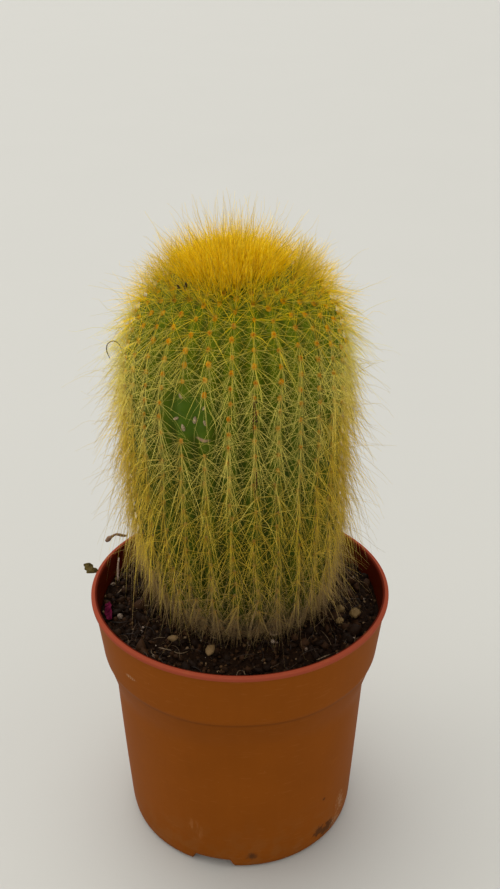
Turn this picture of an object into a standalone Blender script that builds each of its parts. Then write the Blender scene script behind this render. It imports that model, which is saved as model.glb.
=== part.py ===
"""Potted round cactus: a short ribbed golden-spined cactus in a terracotta-coloured plastic nursery pot.

Metres, +Z up. The origin is the centre of the pot's foot, on the surface that the pot stands on.
Profiles are (radius, height) pairs about a vertical axis, and run down the outer side of a shape.
"""

import math

import bmesh
import bpy
from mathutils import Euler, Matrix, Vector

# ---------------------------------------------------------------- driving dimensions

FIT_GAP = 0.0003  # clearance between pieces that touch

# Pot
POT_HEIGHT = 0.095
RIM_RADIUS = 0.0525
LIP_WIDTH = 0.0021
LIP_HEIGHT = 0.0016
LIP_OVERHANG = 0.0009
LIP_ROUND = 0.0006
WALL = 0.0012
COLLAR_HEIGHT = 0.0220  # from the rim down to the collar's lower edge
COLLAR_LOWER_RADIUS = 0.0496
SHOULDER_HEIGHT = 0.0125  # the slope that leads from the collar in to the wall
WALL_UPPER_RADIUS = 0.0458
FOOT_RADIUS = 0.0419
FOOT_EDGE_RADIUS = 0.0032
FOOT_RING_WIDTH = 0.0022
FLOOR_RECESS = 0.0034
FLOOR_THICKNESS = 0.0014
FLOOR_FILLET = 0.0020
NOTCH_COUNT = 3
NOTCH_WIDTH = 0.0146
NOTCH_HEIGHT = 0.0030
NOTCH_ANGLE = math.radians(-102.7)
DRAIN_COUNT = 6
DRAIN_RADIUS = 0.0033
DRAIN_CIRCLE_RADIUS = 0.024
CENTRE_DRAIN_RADIUS = 0.0045
DRAIN_SIDES = 20
POT_STEPS = 72

# Soil
SOIL_DEPTH_BELOW_RIM = 0.0090
SOIL_MOUND = 0.0015
SOIL_MOUND_RADIUS = 0.034
SOIL_STEPS = 48

# Cactus stem
STEM_X = -0.0018
STEM_Y = 0.0050
STEM_RADIUS = 0.0363
STEM_HEIGHT = 0.1265  # from the soil to the top
STEM_WIDEST_ABOVE_SOIL = 0.0690
STEM_BURIED_DEPTH = 0.0140
STEM_BOW = 0.0030  # how far the foot lies to the right of the stem's middle; the crown follows suit
STEM_LEAN = 0.0030  # how far the foot lies behind the stem's middle; the crown lies in front of it
STEM_FOOT_POWER = 4.0  # how squarely the stem turns in to its foot
STEM_SHOULDER_POWER = 4.5  # and to its crown
RIB_COUNT = 30
RIB_DEPTH = 0.0022
RIB_FADE_POWER = 1.5  # how soon the furrows fade where the stem narrows
RIB_PHASE = math.radians(-90.9)
STEPS_PER_RIB = 3
STEM_ROWS = 26
SOCKET_ROWS = 14

# Spines
SPINE_ROW_HEIGHT = 0.0040  # how far the bristles of a rib stand out from it
SPINE_ROW_END_HEIGHT = 0.0026
SPINE_ROW_POINTS = 13
SPINE_SOIL_CLEARANCE = 0.0045
CROWN_RADIUS = 0.0190
CROWN_FLARE = 0.0014
CROWN_BRUSH_HEIGHT = 0.0120
CROWN_FLARE_SHARE = 0.45  # where the brush is widest, as a share of its height
CROWN_TO_ROWS = 0.0020
CROWN_ROWS = 7
CROWN_STEPS = 36

# Loose pieces on the soil. A pebble's place is a direction from the stem's axis in degrees, and a share of
# the free soil between the bristles and the pot's wall.
PEBBLE_CLEARANCE = 0.00035
PEBBLES = {  # length, width and thickness; direction and share; turn in degrees
    "pebble_left": ((0.0040, 0.0032, 0.0024), (234.3, 0.31), 20),
    "pebble_front": ((0.0052, 0.0034, 0.0026), (255.3, 0.32), 100),
    "pebble_right_large": ((0.0050, 0.0042, 0.0032), (336.4, 0.62), 65),
    "pebble_right_round": ((0.0032, 0.0030, 0.0024), (337.6, 0.27), 0),
    "pebble_right_small": ((0.0030, 0.0024, 0.0020), (328.3, 0.39), 30),
}
STALK_RADIUS = 0.00050
STALK_FOOT_ANGLE = math.radians(165.0)
STALK_FOOT_TO_WALL = 0.0032
STALK_HEAD_ANGLE = math.radians(159.5)
STALK_HEAD_TO_WALL = 0.0013
STALK_HEAD_BELOW_RIM = 0.0012
STALK_BEND = 0.0006
STALK_POINTS = 7

# ---------------------------------------------------------------- values worked out from them

RIM_INNER_RADIUS = RIM_RADIUS - LIP_WIDTH
COLLAR_UPPER_RADIUS = RIM_RADIUS - LIP_OVERHANG
COLLAR_LOWER_HEIGHT = POT_HEIGHT - COLLAR_HEIGHT
WALL_UPPER_HEIGHT = COLLAR_LOWER_HEIGHT - SHOULDER_HEIGHT
FLOOR_HEIGHT = FLOOR_RECESS + FLOOR_THICKNESS
SOIL_HEIGHT = POT_HEIGHT - SOIL_DEPTH_BELOW_RIM
STEM_FOOT_HEIGHT = SOIL_HEIGHT - STEM_BURIED_DEPTH
STEM_WIDEST_HEIGHT = SOIL_HEIGHT + STEM_WIDEST_ABOVE_SOIL
STEM_TOP_HEIGHT = SOIL_HEIGHT + STEM_HEIGHT
STEM_PLACE = (STEM_X, STEM_Y, 0.0)


# ---------------------------------------------------------------- scene helpers


def clear_scene():
    for old in list(bpy.data.objects):
        bpy.data.objects.remove(old, do_unlink=True)


def collection(name):
    made = bpy.data.collections.new(name)
    bpy.context.scene.collection.children.link(made)
    return made


def material(name, colour, roughness, metallic=0.0):
    made = bpy.data.materials.new(name)
    made.use_nodes = True
    made.diffuse_color = (*colour, 1.0)
    shader = made.node_tree.nodes["Principled BSDF"]
    shader.inputs["Base Color"].default_value = (*colour, 1.0)
    shader.inputs["Roughness"].default_value = roughness
    shader.inputs["Metallic"].default_value = metallic
    return made


def place(name, data, home, finish=None):
    made = bpy.data.objects.new(name, data)
    home.objects.link(made)
    if finish is not None:
        data.materials.append(finish)
    return made


def hide_cutter(cutter):
    cutter.hide_render = True
    cutter.display_type = "WIRE"
    return cutter


# ---------------------------------------------------------------- shape helpers


def arc(centre, radius, start, end, count):
    """Points on an arc from start to end degrees, where 0 points outward and 90 points up."""
    points = []
    for i in range(count + 1):
        angle = math.radians(start + (end - start) * i / count)
        points.append((centre[0] + radius * math.cos(angle), centre[1] + radius * math.sin(angle)))
    return points


def height_line(lower, upper, height):
    """Radius at a height on the straight line between two profile points."""
    share = (height - lower[1]) / (upper[1] - lower[1])
    return lower[0] + (upper[0] - lower[0]) * share


def turned(name, profile, steps, home, finish=None):
    """A profile turned about the Z axis by a Screw modifier."""
    mesh = bpy.data.meshes.new(name)
    points = [(radius, 0.0, height) for radius, height in profile]
    edges = [(i, i + 1) for i in range(len(points) - 1)]
    mesh.from_pydata(points, edges, [])
    made = place(name, mesh, home, finish)
    screw = made.modifiers.new("Turn", "SCREW")
    screw.steps = steps
    screw.render_steps = steps
    screw.use_merge_vertices = True
    screw.merge_threshold = 0.00001
    screw.use_smooth_shade = True
    return made


def applied(source):
    """Replaces an object's modifiers by the mesh that they make."""
    graph = bpy.context.evaluated_depsgraph_get()
    mesh = bpy.data.meshes.new_from_object(source.evaluated_get(graph))
    source.modifiers.clear()
    source.data = mesh
    return source


def cut(target, cutters):
    """Cuts every object of a collection out of a solid."""
    boolean = target.modifiers.new("Cut " + cutters.name, "BOOLEAN")
    boolean.operation = "DIFFERENCE"
    boolean.operand_type = "COLLECTION"
    boolean.collection = cutters
    boolean.solver = "EXACT"


def shaped(name, build_shape, size, home, finish=None):
    """A bmesh primitive of unit size, stretched to a size."""
    mesh = bpy.data.meshes.new(name)
    shape = bmesh.new()
    build_shape(shape)
    bmesh.ops.scale(shape, vec=Vector(size), verts=shape.verts)
    shape.to_mesh(mesh)
    shape.free()
    return place(name, mesh, home, finish)


def unit_box(shape):
    bmesh.ops.create_cube(shape, size=1.0)


def unit_cylinder(shape):
    bmesh.ops.create_cone(
        shape, cap_ends=True, segments=DRAIN_SIDES, radius1=0.5, radius2=0.5, depth=1.0
    )


def unit_ball(shape):
    bmesh.ops.create_uvsphere(shape, u_segments=10, v_segments=7, radius=0.5)


def smooth(made, sharp_degrees=35):
    made.data.shade_smooth()
    made.data.set_sharp_from_angle(angle=math.radians(sharp_degrees))


# ---------------------------------------------------------------- pot


def pot_outer_wall():
    """The pot's outside below the lip, from the collar's top down to the foot's edge."""
    return [
        (COLLAR_UPPER_RADIUS, POT_HEIGHT - LIP_HEIGHT),
        (COLLAR_LOWER_RADIUS, COLLAR_LOWER_HEIGHT),
        (WALL_UPPER_RADIUS, WALL_UPPER_HEIGHT),
        (FOOT_RADIUS, FOOT_EDGE_RADIUS),
    ]


def pot_inner_radius(height):
    """Radius of the pot's inside at a height, one wall in from the outside."""
    wall = pot_outer_wall()
    for upper, lower in zip(wall, wall[1:]):
        if height >= lower[1] or lower is wall[-1]:
            return min(height_line(lower, upper, height) - WALL, RIM_INNER_RADIUS)


def pot_inner_wall(low):
    """Points up the inside of the pot from a height to the lip."""
    heights = [low, WALL_UPPER_HEIGHT, COLLAR_LOWER_HEIGHT]
    points = [(pot_inner_radius(height), height) for height in heights]
    return [*points, (RIM_INNER_RADIUS, POT_HEIGHT - 2 * LIP_HEIGHT)]


def pot_profile():
    floor_corner = FLOOR_HEIGHT + FLOOR_FILLET
    fillet_centre = (pot_inner_radius(floor_corner) - FLOOR_FILLET, floor_corner)
    floor = [(0.0, FLOOR_HEIGHT), *arc(fillet_centre, FLOOR_FILLET, 270, 340, 2)]
    lip_top = POT_HEIGHT - LIP_ROUND
    lip = [
        *arc((RIM_INNER_RADIUS + LIP_ROUND, lip_top), LIP_ROUND, 180, 90, 2),
        *arc((RIM_RADIUS - LIP_ROUND, lip_top), LIP_ROUND, 90, 0, 2),
        (RIM_RADIUS, POT_HEIGHT - LIP_HEIGHT),
    ]
    edge_centre = (FOOT_RADIUS - FOOT_EDGE_RADIUS, FOOT_EDGE_RADIUS)
    ring_inner = FOOT_RADIUS - FOOT_EDGE_RADIUS - FOOT_RING_WIDTH
    foot = [
        *arc(edge_centre, FOOT_EDGE_RADIUS, 0, -90, 3)[1:],
        (ring_inner, 0.0),
        (ring_inner, FLOOR_RECESS),
        (0.0, FLOOR_RECESS),
    ]
    return [*floor, *pot_inner_wall(floor_corner + FLOOR_FILLET), *lip, *pot_outer_wall(), *foot]


def notch_cutters(home):
    """Boxes that open the foot ring, so that water runs out from under the floor."""
    ring_middle = FOOT_RADIUS - (FOOT_EDGE_RADIUS + FOOT_RING_WIDTH) / 2
    size = (4 * (FOOT_EDGE_RADIUS + FOOT_RING_WIDTH), NOTCH_WIDTH, 2 * NOTCH_HEIGHT)
    for i in range(NOTCH_COUNT):
        angle = NOTCH_ANGLE + i * math.tau / NOTCH_COUNT
        box = hide_cutter(shaped(f"notch_cutter_{i + 1}", unit_box, size, home))
        box.location = (ring_middle * math.cos(angle), ring_middle * math.sin(angle), 0.0)
        box.rotation_euler = (0.0, 0.0, angle)


def drain_cutters(home):
    """Cylinders through the floor: one at its centre and a circle of smaller ones."""
    drains = [((0.0, 0.0), CENTRE_DRAIN_RADIUS)]
    for i in range(DRAIN_COUNT):
        angle = NOTCH_ANGLE + (i + 0.5) * math.tau / DRAIN_COUNT
        centre = (DRAIN_CIRCLE_RADIUS * math.cos(angle), DRAIN_CIRCLE_RADIUS * math.sin(angle))
        drains.append((centre, DRAIN_RADIUS))
    for i, (centre, radius) in enumerate(drains):
        size = (2 * radius, 2 * radius, 3 * FLOOR_THICKNESS)
        hole = hide_cutter(shaped(f"drain_cutter_{i}", unit_cylinder, size, home))
        hole.location = (*centre, FLOOR_RECESS + FLOOR_THICKNESS / 2)


def make_pot(home, cutters):
    plastic = material("terracotta_plastic", (0.48, 0.115, 0.035), 0.42)
    pot = turned("pot", pot_profile(), POT_STEPS, home, plastic)
    notch_cutters(cutters)
    drain_cutters(cutters)
    cut(pot, cutters)


# ---------------------------------------------------------------- cactus stem


def crest(u):
    """Radius and height of the rib crests at u, from -90 at the foot to 90 degrees at the crown."""
    angle = math.radians(u)
    radius = STEM_RADIUS * math.cos(angle)
    if u < 0:
        reach = abs(math.sin(angle)) ** (2 / STEM_FOOT_POWER)
        return radius, STEM_WIDEST_HEIGHT - (STEM_WIDEST_HEIGHT - STEM_FOOT_HEIGHT) * reach
    reach = math.sin(angle) ** (2 / STEM_SHOULDER_POWER)
    return radius, STEM_WIDEST_HEIGHT + (STEM_TOP_HEIGHT - STEM_WIDEST_HEIGHT) * reach


def crest_offset(u, distance):
    """The crest at u, moved out from the stem's surface by a distance."""
    step = 0.05
    before = Vector(crest(max(u - step, -90)))
    after = Vector(crest(min(u + step, 90)))
    along = (after - before).normalized()
    radius, height = crest(u)
    return max(radius + along.y * distance, 0.0), height - along.x * distance


def crest_angle_at_height(height):
    """The u, below the widest point, where the crests are at a height."""
    reach = (STEM_WIDEST_HEIGHT - height) / (STEM_WIDEST_HEIGHT - STEM_FOOT_HEIGHT)
    return -math.degrees(math.asin(reach ** (STEM_FOOT_POWER / 2)))


def sway(height, turn=0.0):
    """How far the stem's axis has moved at a height, in a frame turned about it."""
    share = (height - STEM_WIDEST_HEIGHT) / STEM_WIDEST_ABOVE_SOIL
    offset = Vector((STEM_BOW * share**2, -STEM_LEAN * share))
    return Matrix.Rotation(-turn, 2) @ offset


def swayed(piece, turn=0.0):
    """Moves a mesh's points with the stem's axis."""
    for vertex in piece.data.vertices:
        vertex.co.xy += sway(vertex.co.z, turn)
    return piece


def crest_angle_at_radius(radius):
    """The u, above the widest point, where the crests are at a radius."""
    return math.degrees(math.acos(radius / STEM_RADIUS))


def spread(start, end, count):
    return [start + (end - start) * i / (count - 1) for i in range(count)]


def make_stem(home):
    """A turned barrel whose surface is drawn in between the rib crests."""
    skin = material("cactus_skin", (0.085, 0.19, 0.035), 0.45)
    profile = [crest(u) for u in reversed(spread(-90, 90, STEM_ROWS))]
    profile[0] = (0.0, STEM_TOP_HEIGHT)
    profile[-1] = (0.0, STEM_FOOT_HEIGHT)
    stem = applied(turned("cactus_stem", profile, RIB_COUNT * STEPS_PER_RIB, home, skin))
    for vertex in stem.data.vertices:
        radius = math.hypot(vertex.co.x, vertex.co.y)
        if radius > RIB_DEPTH:
            wave = (1 - math.cos(RIB_COUNT * math.atan2(vertex.co.y, vertex.co.x))) / 2
            furrow = RIB_DEPTH * wave * (radius / STEM_RADIUS) ** RIB_FADE_POWER
            vertex.co.x *= 1 - furrow / radius
            vertex.co.y *= 1 - furrow / radius
    smooth(swayed(stem, RIB_PHASE))
    stem.location = STEM_PLACE
    stem.rotation_euler = Euler((0.0, 0.0, RIB_PHASE))


# ---------------------------------------------------------------- soil


def soil_surface(radius):
    """Height of the soil, which rises a little towards the stem."""
    edge = pot_inner_radius(SOIL_HEIGHT) - FIT_GAP
    share = (edge - radius) / (edge - SOIL_MOUND_RADIUS)
    return SOIL_HEIGHT + SOIL_MOUND * min(max(share, 0.0), 1.0)


def make_soil(home, cutters):
    """Soil that fills the pot, with a socket that the stem's foot stands in."""
    peat = material("dark_peat", (0.018, 0.011, 0.008), 0.9)
    bottom = FLOOR_HEIGHT + FIT_GAP
    edge_height = bottom + FLOOR_FILLET
    wall_heights = [SOIL_HEIGHT, COLLAR_LOWER_HEIGHT, WALL_UPPER_HEIGHT, edge_height]
    wall = [(pot_inner_radius(height) - FIT_GAP, height) for height in wall_heights]
    floor_edge = wall[-1][0] - FLOOR_FILLET
    profile = [
        (0.0, SOIL_HEIGHT + SOIL_MOUND),
        (SOIL_MOUND_RADIUS, SOIL_HEIGHT + SOIL_MOUND),
        *wall,
        (floor_edge, bottom),
        (0.0, bottom),
    ]
    soil = turned("soil", profile, SOIL_STEPS, home, peat)
    socket_profile = [crest_offset(u, FIT_GAP) for u in reversed(spread(-90, 0, SOCKET_ROWS))]
    socket_profile[-1] = (0.0, STEM_FOOT_HEIGHT - FIT_GAP)
    socket_top = (0.0, socket_profile[0][1])
    socket = applied(turned("stem_socket_cutter", [socket_top, *socket_profile], SOIL_STEPS, cutters))
    hide_cutter(swayed(socket)).location = STEM_PLACE
    cut(soil, cutters)


# ---------------------------------------------------------------- spines


def spine_row_path():
    """Points up one rib, with how thick the row of bristles is at each."""
    start = crest_angle_at_height(SOIL_HEIGHT + SOIL_MOUND + SPINE_SOIL_CLEARANCE)
    end = crest_angle_at_radius(CROWN_RADIUS + CROWN_TO_ROWS)
    path = []
    for i, u in enumerate(spread(start, end, SPINE_ROW_POINTS)):
        share = i / (SPINE_ROW_POINTS - 1)
        fullness = min(1.0, 6 * share, 3 * (1 - share))
        thickness = SPINE_ROW_END_HEIGHT + (SPINE_ROW_HEIGHT - SPINE_ROW_END_HEIGHT) * fullness
        radius, height = crest_offset(u, FIT_GAP + thickness / 2)
        path.append((radius, height, thickness / SPINE_ROW_HEIGHT))
    return path


def make_spine_rows(home):
    """One row of bristles on each rib's crest, from just above the soil up to the crown."""
    straw = material("straw_bristles", (0.55, 0.40, 0.13), 0.6)
    path = spine_row_path()
    for i in range(RIB_COUNT):
        name = f"spine_row_{i + 1:02d}"
        curve = bpy.data.curves.new(name, "CURVE")
        curve.dimensions = "3D"
        curve.bevel_depth = SPINE_ROW_HEIGHT / 2
        curve.bevel_resolution = 1
        curve.use_fill_caps = True
        line = curve.splines.new("POLY")
        line.points.add(len(path) - 1)
        turn = RIB_PHASE + i * math.tau / RIB_COUNT
        for point, (radius, height, fullness) in zip(line.points, path):
            shift = sway(height, turn)
            point.co = (radius + shift.x, shift.y, height, 1.0)
            point.radius = fullness
        row = place(name, curve, home, straw)
        row.location = STEM_PLACE
        row.rotation_euler = Euler((0.0, 0.0, turn))


def make_crown_tuft(home):
    """The dense upright brush of young bristles that covers the stem's top."""
    gold = material("golden_bristles", (0.72, 0.42, 0.03), 0.6)
    rim_angle = crest_angle_at_radius(CROWN_RADIUS)
    rim_radius, rim_height = crest_offset(rim_angle, FIT_GAP)
    underside = [crest_offset(u, FIT_GAP) for u in spread(rim_angle, 90, 5)]
    underside[-1] = (0.0, STEM_TOP_HEIGHT + FIT_GAP)
    flare = (rim_radius + CROWN_FLARE, rim_height + CROWN_FLARE_SHARE * CROWN_BRUSH_HEIGHT)
    top_height = STEM_TOP_HEIGHT + CROWN_BRUSH_HEIGHT
    dome = []
    for angle in spread(math.pi / 2, 0.0, CROWN_ROWS):
        height = flare[1] + (top_height - flare[1]) * math.sin(angle)
        dome.append((flare[0] * math.cos(angle), height))
    dome[0] = (0.0, top_height)
    tuft = applied(turned("crown_tuft", [*dome, *underside], CROWN_STEPS, home, gold))
    swayed(tuft).location = STEM_PLACE


# ---------------------------------------------------------------- loose pieces on the soil


def soil_spot(direction, share, half_size):
    """A place on the free soil, on the ray that leaves the stem's axis in a direction."""
    out = Vector((math.cos(math.radians(direction)), math.sin(math.radians(direction))))
    axis = Vector((STEM_X, STEM_Y)) + sway(SOIL_HEIGHT)
    wall_radius = pot_inner_radius(SOIL_HEIGHT)
    along = axis.dot(out)
    to_wall = math.sqrt(along**2 + wall_radius**2 - axis.length_squared) - along
    bristle_radius = crest(crest_angle_at_height(SOIL_HEIGHT + SOIL_MOUND))[0] + SPINE_ROW_HEIGHT
    nearest = bristle_radius + half_size
    furthest = to_wall - half_size - FIT_GAP
    return axis + out * (nearest + (furthest - nearest) * share)


def make_pebbles(home):
    cream = material("cream_pebble", (0.52, 0.40, 0.27), 0.75)
    for name, (size, (direction, share), turn) in PEBBLES.items():
        pebble = shaped(name, unit_ball, size, home, cream)
        pebble.data.shade_smooth()
        spot = soil_spot(direction, share, size[0] / 2)
        soil_below = soil_surface(spot.length - size[0] / 2)
        pebble.location = (*spot, soil_below + PEBBLE_CLEARANCE + size[2] / 2)
        pebble.rotation_euler = Euler((0.0, 0.0, math.radians(turn)))


def beside_wall(angle, height, distance):
    """A point inside the pot, at a distance from its wall."""
    radius = pot_inner_radius(height) - distance
    return Vector((radius * math.cos(angle), radius * math.sin(angle), height))


def make_stalk(home):
    """A thin dry stalk that stands on the soil beside the wall and leans along it."""
    straw = material("dry_stalk", (0.42, 0.30, 0.22), 0.8)
    foot = beside_wall(STALK_FOOT_ANGLE, SOIL_HEIGHT, STALK_FOOT_TO_WALL)
    foot.z = soil_surface(foot.xy.length) + FIT_GAP + STALK_RADIUS
    head = beside_wall(STALK_HEAD_ANGLE, POT_HEIGHT - STALK_HEAD_BELOW_RIM, STALK_HEAD_TO_WALL)
    curve = bpy.data.curves.new("dry_stalk", "CURVE")
    curve.dimensions = "3D"
    curve.bevel_depth = STALK_RADIUS
    curve.bevel_resolution = 2
    curve.use_fill_caps = True
    line = curve.splines.new("POLY")
    line.points.add(STALK_POINTS - 1)
    for point, share in zip(line.points, spread(0.0, 1.0, STALK_POINTS)):
        bend = STALK_BEND * math.sin(math.pi * share)
        spot = foot.lerp(head, share) + Vector((bend, 0.0, 0.0))
        point.co = (*spot, 1.0)
    place("dry_stalk", curve, home, straw)


# ---------------------------------------------------------------- the whole plant


def main():
    clear_scene()
    home = collection("potted_round_cactus")
    pot_cutters = collection("pot_cutters")
    soil_cutters = collection("soil_cutters")
    make_pot(home, pot_cutters)
    make_soil(home, soil_cutters)
    make_stem(home)
    make_spine_rows(home)
    make_crown_tuft(home)
    make_pebbles(home)
    make_stalk(home)


main()
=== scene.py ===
import itertools
import math

import bmesh
import bpy
import numpy as np
from bpy.props import FloatProperty, FloatVectorProperty, IntProperty, PointerProperty
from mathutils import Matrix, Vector


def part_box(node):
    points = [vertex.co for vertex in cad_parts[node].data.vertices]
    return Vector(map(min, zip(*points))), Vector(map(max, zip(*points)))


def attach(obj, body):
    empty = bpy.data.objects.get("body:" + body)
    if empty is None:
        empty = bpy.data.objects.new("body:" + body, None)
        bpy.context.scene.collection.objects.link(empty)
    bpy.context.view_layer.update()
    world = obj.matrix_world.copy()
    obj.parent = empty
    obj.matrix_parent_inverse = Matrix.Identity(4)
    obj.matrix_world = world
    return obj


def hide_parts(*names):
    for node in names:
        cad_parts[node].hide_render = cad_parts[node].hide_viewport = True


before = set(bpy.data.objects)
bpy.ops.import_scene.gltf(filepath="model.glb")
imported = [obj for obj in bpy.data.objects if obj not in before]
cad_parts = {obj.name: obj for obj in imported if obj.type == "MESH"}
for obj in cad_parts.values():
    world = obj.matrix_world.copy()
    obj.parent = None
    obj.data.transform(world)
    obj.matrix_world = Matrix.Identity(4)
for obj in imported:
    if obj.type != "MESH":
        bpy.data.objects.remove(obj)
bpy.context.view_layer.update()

bl_info = {
    "name": "Potted columnar cactus",
    "version": (1, 0, 0),
    "blender": (4, 5, 0),
    "location": "3D View > Sidebar > Cactus",
    "description": "Builds a golden-spined cactus in a plastic nursery pot around its packed frame",
    "category": "Object",
}

# Places taken from the frame, in metres.
POT_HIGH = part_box("pot")[1]
SOIL_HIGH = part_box("soil")[1]
STEM_LOW, STEM_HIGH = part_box("cactus_stem")
RIM_RADIUS = POT_HIGH.x
RIM_HEIGHT = POT_HIGH.z
AXIS_X = (STEM_LOW.x + STEM_HIGH.x) / 2
AXIS_Y = (STEM_LOW.y + STEM_HIGH.y) / 2
STEM_RADIUS = (STEM_HIGH.x - STEM_LOW.x) / 2
STEM_TOP = STEM_HIGH.z
STEM_FOOT = STEM_LOW.z
SOIL_LEVEL = RIM_HEIGHT - 0.009
STEM_WIDEST = SOIL_LEVEL + 0.069

# The ribs, how far the stem bows to the right and leans forward, and how square its ends are.
RIBS = 30
RIB_PHASE = math.radians(-90.9)
STEM_BOW = 0.0030
STEM_LEAN = 0.0030
FOOT_POWER = 4.0
SHOULDER_POWER = 4.5

# The pot's outer wall from foot to lip, as radius and height. The third pair is the collar's foot.
POT_WALL = [(0.0419, 0.0032), (0.0458, 0.0605), (0.0496, 0.0730), (0.0516, 0.0934)]
COLLAR_FOOT = POT_WALL[2][1]
WALL_THICKNESS = 0.0012
FLOOR_UNDERSIDE = 0.0034
FLOOR_TOP = 0.0048

# The three notches in the foot ring: angles, half width, height, the width of each sloping side,
# the height up to which the wall takes up the change, and the radius of the floor inside the ring.
NOTCH_ANGLES = [math.radians(-102.7 + 120 * i) for i in range(3)]
NOTCH_HALF_ANGLE = 0.0073 / 0.0419
NOTCH_HEIGHT = 0.0030
NOTCH_SLOPE = 0.016
NOTCH_REACH = 0.0062
FLOOR_RADIUS = 0.0364

# The drain holes: radius of the middle one, of the six round it, and of the circle those are on,
# and the angle of the first in degrees.
MIDDLE_DRAIN = 0.0045
OUTER_DRAIN = 0.0033
DRAIN_CIRCLE = 0.024
DRAIN_PHASE = 17.3

# The gap between the soil and the pot, and how far loose grains stay from the stem's axis.
SOIL_GAP = 0.00025
STEM_CLEARANCE = 0.0275

# The bare patch on the stem: its middle angle, half angle, and lowest and highest point.
BARE_ANGLE = math.radians(-111.5)
BARE_HALF_ANGLE = math.radians(11.0)
BARE_LOW = 0.1665
BARE_HIGH = 0.1815


# ---------------------------------------------------------------- settings


# What every colour setting has in common.
COLOUR = {"subtype": "COLOR", "size": 3, "min": 0.0, "max": 1.0}


class PotSettings(bpy.types.PropertyGroup):
    """The nursery pot and the soil in it."""

    plastic: FloatVectorProperty(
        name="Plastic colour",
        description="Colour of the pot's terracotta plastic",
        default=(0.216, 0.0570, 0.0046), **COLOUR,
    )
    wall_wave: FloatProperty(
        name="Wall wave",
        description="How far the thin wall is out of round",
        unit="LENGTH", default=0.00016, min=0.0, max=0.001, precision=5,
    )
    peat: FloatVectorProperty(
        name="Peat colour",
        description="Colour of the damp peat",
        default=(0.0105, 0.0043, 0.0015), **COLOUR,
    )
    crumb_count: IntProperty(
        name="Peat crumbs",
        description="Number of loose crumbs on the soil",
        default=3000, min=0, max=8000,
    )
    fibre_count: IntProperty(
        name="Peat fibres",
        description="Number of loose fibres on the soil",
        default=150, min=0, max=2000,
    )


class StemSettings(bpy.types.PropertyGroup):
    """The stem's skin."""

    rib_depth: FloatProperty(
        name="Rib depth",
        description="How deep the furrows between the ribs are at the stem's widest",
        unit="LENGTH", default=0.0022, min=0.0, max=0.005, precision=4,
    )
    tubercle: FloatProperty(
        name="Tubercle height",
        description="How far each rib swells under an areole",
        unit="LENGTH", default=0.00045, min=0.0, max=0.002, precision=5,
    )
    young_skin: FloatVectorProperty(
        name="Young skin",
        description="Colour of the skin near the crown",
        default=(0.106, 0.148, 0.0003), **COLOUR,
    )
    old_skin: FloatVectorProperty(
        name="Old skin",
        description="Colour of the skin lower down",
        default=(0.050, 0.080, 0.002), **COLOUR,
    )


class BristleSettings(bpy.types.PropertyGroup):
    """The spines on the ribs and the brush on the crown."""

    areole_gap: FloatProperty(
        name="Areole gap",
        description="Distance between areoles along a rib near the crown",
        unit="LENGTH", default=0.0043, min=0.003, max=0.01, precision=4,
    )
    radials: IntProperty(
        name="Radial spines",
        description="Short spines that spread round each areole",
        default=15, min=4, max=48,
    )
    centrals: IntProperty(
        name="Central spines",
        description="Long spines that stand in the middle of each areole",
        default=5, min=0, max=16,
    )
    thickness: FloatProperty(
        name="Spine thickness",
        description="Diameter at the root of a long spine",
        unit="LENGTH", default=0.00016, min=0.00005, max=0.0006, precision=5,
    )
    brush_count: IntProperty(
        name="Crown bristles",
        description="Number of bristles in the crown's brush",
        default=5600, min=0, max=7000,
    )
    brush_reach: FloatProperty(
        name="Crown brush reach",
        description="Radius of the patch that the crown's brush grows from",
        unit="LENGTH", default=0.0134, min=0.005, max=0.03, precision=4,
    )


class StudioSettings(bpy.types.PropertyGroup):
    """The floor, the light and the camera."""

    floor: FloatVectorProperty(
        name="Floor colour",
        description="Colour of the studio floor",
        default=(0.505, 0.505, 0.480), **COLOUR,
    )
    sky_strength: FloatProperty(
        name="Room light",
        description="Strength of the even light from all round",
        default=0.60, min=0.0, max=2.0,
    )
    view_angle: FloatProperty(
        name="View angle",
        description="Height of the camera's view",
        subtype="ANGLE", default=math.radians(44.745), min=0.1, max=2.0,
    )


# ---------------------------------------------------------------- finishes


class Value:
    """A shader socket that sums and products can be written with."""

    def __init__(self, finish, socket):
        self.finish = finish
        self.socket = socket

    def math(self, operation, *terms):
        """A sum, product or other operation on values and numbers."""
        return self.finish.node("Math", {"operation": operation}, dict(enumerate(terms)))

    def __add__(self, other):
        return self.math("ADD", self, other)

    __radd__ = __add__

    def __sub__(self, other):
        return self.math("SUBTRACT", self, other)

    def __rsub__(self, other):
        return self.math("SUBTRACT", other, self)

    def __mul__(self, other):
        return self.math("MULTIPLY", self, other)

    __rmul__ = __mul__

    def __truediv__(self, other):
        return self.math("DIVIDE", self, other)

    def __pow__(self, other):
        return self.math("POWER", self, other)

    def rise(self, low, high):
        """0 below low and 1 above high, with a smooth step between; low may be the larger."""
        settings = {"interpolation_type": "SMOOTHSTEP"}
        return self.finish.node("MapRange", settings, {0: self, 1: low, 2: high})

    def sine(self):
        return self.math("SINE", self)

    def size(self):
        """The value without its sign."""
        return self.math("ABSOLUTE", self)

    def clamped(self):
        """The value, held between 0 and 1."""
        return self.math("MINIMUM", self.math("MAXIMUM", self, 0.0), 1.0)


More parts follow.
